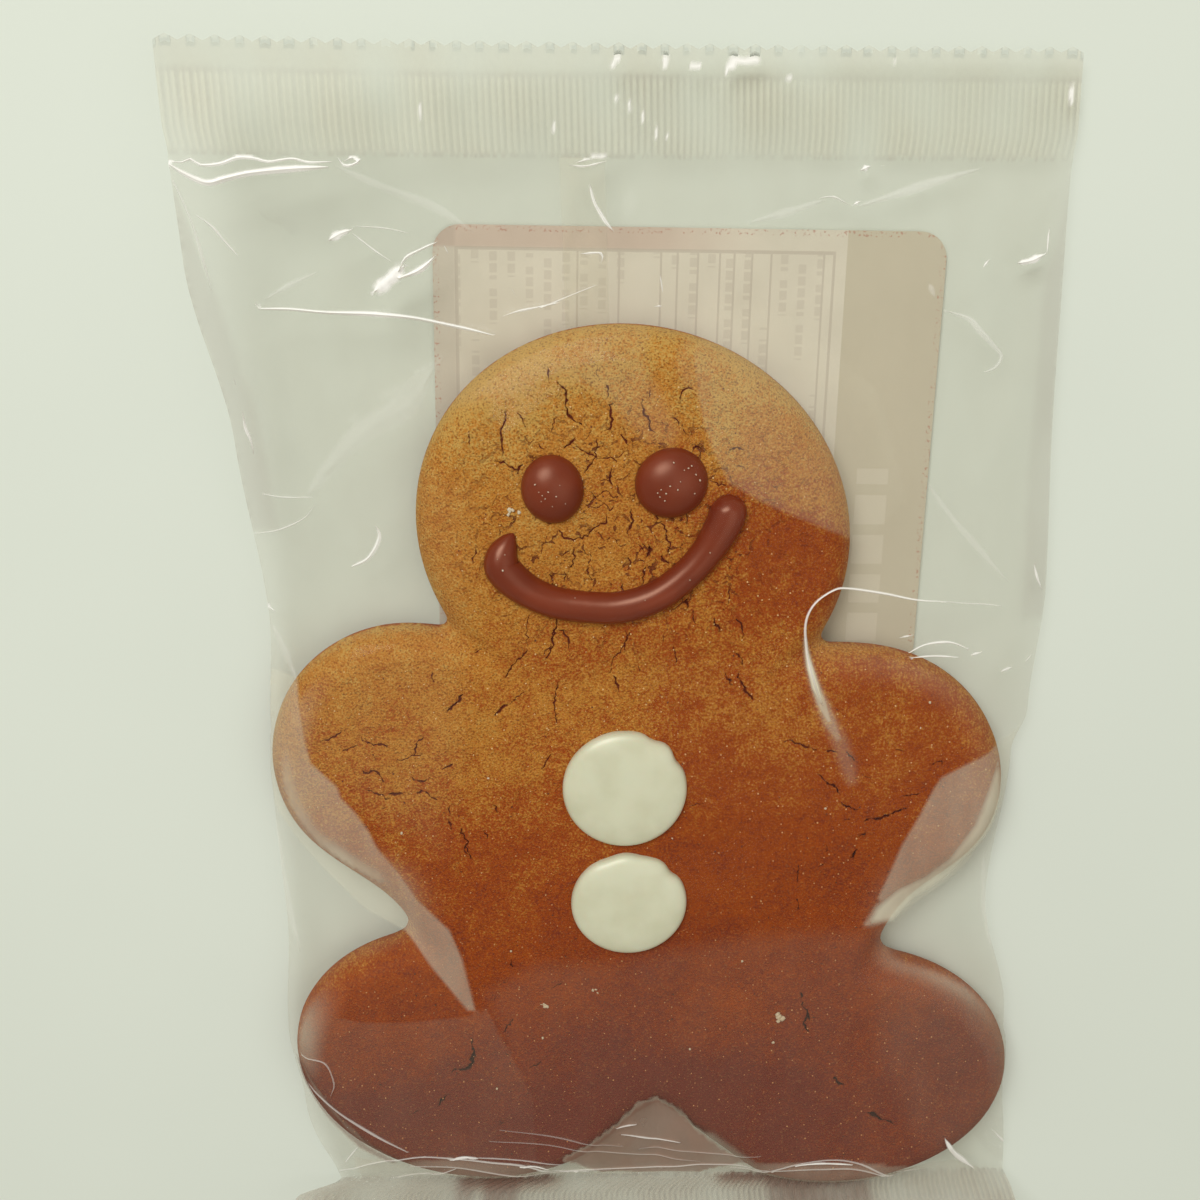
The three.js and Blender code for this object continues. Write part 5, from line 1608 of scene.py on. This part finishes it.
class GINGERBREAD_OT_eyes(bpy.types.Operator):
    """Drops the two eyes of cocoa icing"""

    bl_idname = "gingerbread.eyes"
    bl_label = "Eyes"

    def execute(self, context):
        icing = context.scene.gingerbread_icing
        height = icing.eye_height / MM
        # Name, middle, outline, height, lean and squareness.
        eyes = (
            ("eye_left", (-12.9, 33.9), oval(4.6, 5.15, 0.1), height, (-0.35, 0.5), 1.9),
            ("eye_right", (4.6, 34.3), oval(5.45, 5.2, 0.5), height * 1.08, (-0.4, 0.5), 1.95),
        )
        for name, middle, reach, tall, lean, squareness in eyes:
            material = cocoa_icing(name + "_cocoa_icing", icing, 0.4)
            sheet = dome_sheet(middle, reach, tall, squareness, 0.5, lean)
            finish_piece(make_piece(name, [sheet], material))
        return {"FINISHED"}


class GINGERBREAD_OT_smile(bpy.types.Operator):
    """Pipes the smile along its line"""

    bl_idname = "gingerbread.smile"
    bl_label = "Smile"

    def execute(self, context):
        icing = context.scene.gingerbread_icing
        material = cocoa_icing("smile_cocoa_icing", icing, 0.33)
        line = smooth_line(np.array(SMILE), 0.35)
        run = np.concatenate([[0], np.cumsum(np.linalg.norm(np.diff(line[:, :2], axis=0), axis=1))])
        ends = np.minimum(run, run[-1] - run)
        half = line[:, 2] * np.sqrt(np.clip(1 - (1 - np.clip(ends / 2.4, 0, 1)) ** 2, 0.0004, 1))
        mesh = bpy.data.meshes.new("smile_line")
        places = np.column_stack([line[:, :2], np.zeros(len(line))]) * MM
        mesh.from_pydata(places.tolist(), [(place, place + 1) for place in range(len(line) - 1)], [])
        set_values(mesh, "radius", half * MM)
        values = {"Height": icing.smile_height, "Base": (COOKIE_TOP + 0.1) * MM, "Sides": 36}
        bead = run_tree("smile", piped_bead_tree(material), link_object("smile_line", mesh), values)
        finish_piece(link_object("smile", bead))
        return {"FINISHED"}


class GINGERBREAD_OT_dust(bpy.types.Operator):
    """Lets a little sugar dust settle on the cocoa icing"""

    bl_idname = "gingerbread.dust"
    bl_label = "Sugar dust"

    def execute(self, context):
        iced = [bpy.data.objects[name] for name in ("eye_left", "eye_right", "smile")]
        tops = np.concatenate([[corner.co for corner in piece.data.vertices] for piece in iced]) / MM
        draw = np.random.default_rng(SEED + 9)
        specks = []
        for x, y in DUST:
            near = tops[np.hypot(tops[:, 0] - x, tops[:, 1] - y) < 0.6]
            length = draw.uniform(0.16, 0.4)
            specks.append((x, y, length, length * draw.uniform(0.6, 1), near[:, 2].max()))
        material = crumb_material("icing_dust", "#d9cbb4", "#c2a488", (50, -40))
        finish_piece(make_piece("icing_dust", fleck_sheets(specks, 1), material))
        return {"FINISHED"}


class GINGERBREAD_OT_buttons(bpy.types.Operator):
    """Drops the two flat buttons of white icing"""

    bl_idname = "gingerbread.buttons"
    bl_label = "Buttons"

    def execute(self, context):
        icing = context.scene.gingerbread_icing
        height = icing.button_height / MM
        # Dents of the rims: where round them in degrees, how deep, and how wide in degrees.
        upper_dips = ((62, 0.45, 7), (31, 0.5, 8), (46, -0.15, 9))
        lower_dips = ((38, 0.55, 8), (75, 0.4, 14), (110, 0.25, 12))
        buttons = (
            ("button_upper", (-3.4, -14.4), oval(9.75, 9.7, 0.0, 0.02), upper_dips),
            ("button_lower", (-3.2, -34.1), oval(9.3, 8.9, 0.1, -0.01), lower_dips),
        )
        for name, middle, reach, dips in buttons:
            material = sugar_icing(name + "_sugar_icing", icing)
            sheet = dome_sheet(middle, reach, height, 3.4, 0.45, (0, 0), dips)
            finish_piece(make_piece(name, [sheet], material))
        return {"FINISHED"}


class GINGERBREAD_OT_film(bpy.types.Operator):
    """Wraps the cookie in its bag of clear film, with both crimped end seals"""

    bl_idname = "gingerbread.film"
    bl_label = "Film"

    def execute(self, context):
        film = context.scene.gingerbread_film
        material = film_material(film)
        tree = crimped_strip_tree(material)
        columns = round(SEAL_WIDTH * MM / film.ridge_pitch) * RIDGE_COLUMNS + 1
        rim, foot, root = film_body_rim(columns)
        sheets = [film_front_sheet(film, rim), film_back_sheet(film, rim)]
        seals = (("head", root, SEAL_DEPTH, False), ("foot", foot, FLAP_DEPTH, True))
        for name, line, depth, leaning in seals:
            values = {
                "Width": SEAL_WIDTH * MM,
                "Depth": depth * MM,
                "Ridge Pitch": film.ridge_pitch,
                "Ridge Height": film.ridge_height,
                "Ridged Share": film.ridged_share,
                "Tooth Pitch": film.tooth_pitch,
                "Tooth Height": film.tooth_height,
                "Columns": columns,
                "Rows": SEAL_ROWS,
            }
            strip = run_tree(name + "_seal", tree, link_object(name + "_seal"), values)
            sheets += seal_sheets(film, strip, line, depth, leaning)
        piece = make_piece("film", sheets, material, weld=0.02)
        piece.data.set_sharp_from_angle(angle=math.radians(60))
        finish_piece(piece)
        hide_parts("bag")
        return {"FINISHED"}


class GINGERBREAD_OT_label(bpy.types.Operator):
    """Prints the paper label of the frame"""

    bl_idname = "gingerbread.label"
    bl_label = "Label"

    def execute(self, context):
        material = label_material(context.scene.gingerbread_label)
        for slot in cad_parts["label"].material_slots:
            slot.material = material
        return {"FINISHED"}


def area_light(name, place, size, power):
    """A soft rectangular light, placed and sized in metres, that shines at the origin."""
    lamp = bpy.data.lights.new(name, "AREA")
    lamp.shape = "RECTANGLE"
    lamp.size, lamp.size_y = size
    lamp.energy = power
    light = link_object(name, lamp)
    light.location = place
    light.rotation_euler = Vector(place).to_track_quat("Z", "Y").to_euler()


class GINGERBREAD_OT_stage(bpy.types.Operator):
    """Sets the pale table, the soft lights and the camera"""

    bl_idname = "gingerbread.stage"
    bl_label = "Stage"

    def execute(self, context):
        stage = context.scene.gingerbread_stage
        half, level = TABLE_WIDTH / 2, -TABLE_DROP * MM
        corners = [(x * half, y * half, level) for x, y in ((-1, -1), (1, -1), (1, 1), (-1, 1))]
        mesh = bpy.data.meshes.new("table_top")
        mesh.from_pydata(corners, [], [(0, 1, 2, 3)])
        mesh.materials.append(table_material(stage))
        link_object("table_top", mesh)
        room = bpy.data.worlds.new("room")
        room.use_nodes = True
        background = room.node_tree.nodes["Background"].inputs
        background["Color"].default_value = (*stage.sky, 1)
        background["Strength"].default_value = stage.sky_strength
        context.scene.world = room
        area_light("key_light", (-0.3, 0.6, 0.78), (0.6, 0.42), stage.key_power)
        area_light("fill_light", (0.4, -0.1, 0.7), (0.7, 0.7), stage.fill_power)
        camera = link_object("camera", bpy.data.cameras.new("camera"))
        camera.data.lens = stage.lens
        camera.data.sensor_width = 36
        camera.data.clip_start = 0.01
        turned = Matrix.Rotation(-stage.tilt, 4, "X") @ Matrix.Rotation(stage.roll, 4, "Z")
        aim = Vector(CAMERA_AIM) * MM
        camera.matrix_world = Matrix.Translation(aim + turned.col[2].xyz * stage.distance) @ turned
        context.scene.camera = camera
        context.scene.view_settings.view_transform = "Standard"
        return {"FINISHED"}


SETTINGS = {
    "gingerbread_cookie": CookieSettings,
    "gingerbread_icing": IcingSettings,
    "gingerbread_film": FilmSettings,
    "gingerbread_label": LabelSettings,
    "gingerbread_stage": StageSettings,
}
OPERATORS = (
    GINGERBREAD_OT_cookie,
    GINGERBREAD_OT_grains,
    GINGERBREAD_OT_eyes,
    GINGERBREAD_OT_smile,
    GINGERBREAD_OT_dust,
    GINGERBREAD_OT_buttons,
    GINGERBREAD_OT_film,
    GINGERBREAD_OT_label,
    GINGERBREAD_OT_stage,
)


class GINGERBREAD_PT_panel(bpy.types.Panel):
    """Sizes and colours of the bagged gingerbread man, with a button for each piece"""

    bl_idname = "GINGERBREAD_PT_panel"
    bl_label = "Gingerbread Man"
    bl_space_type = "VIEW_3D"
    bl_region_type = "UI"
    bl_category = "Gingerbread"

    def draw(self, context):
        for name, group in SETTINGS.items():
            box = self.layout.box()
            for setting in group.__annotations__:
                box.prop(getattr(context.scene, name), setting)
        for operator in OPERATORS:
            self.layout.operator(operator.bl_idname)


def register():
    for name, group in SETTINGS.items():
        bpy.utils.register_class(group)
        setattr(bpy.types.Scene, name, PointerProperty(type=group))
    for kind in (*OPERATORS, GINGERBREAD_PT_panel):
        bpy.utils.register_class(kind)


def unregister():
    for kind in (GINGERBREAD_PT_panel, *reversed(OPERATORS)):
        bpy.utils.unregister_class(kind)
    for name, group in reversed(SETTINGS.items()):
        delattr(bpy.types.Scene, name)
        bpy.utils.unregister_class(group)


def main():
    register()
    for operator in OPERATORS:
        group, name = operator.bl_idname.split(".")
        getattr(getattr(bpy.ops, group), name)()


if __name__ == "__main__":
    main()
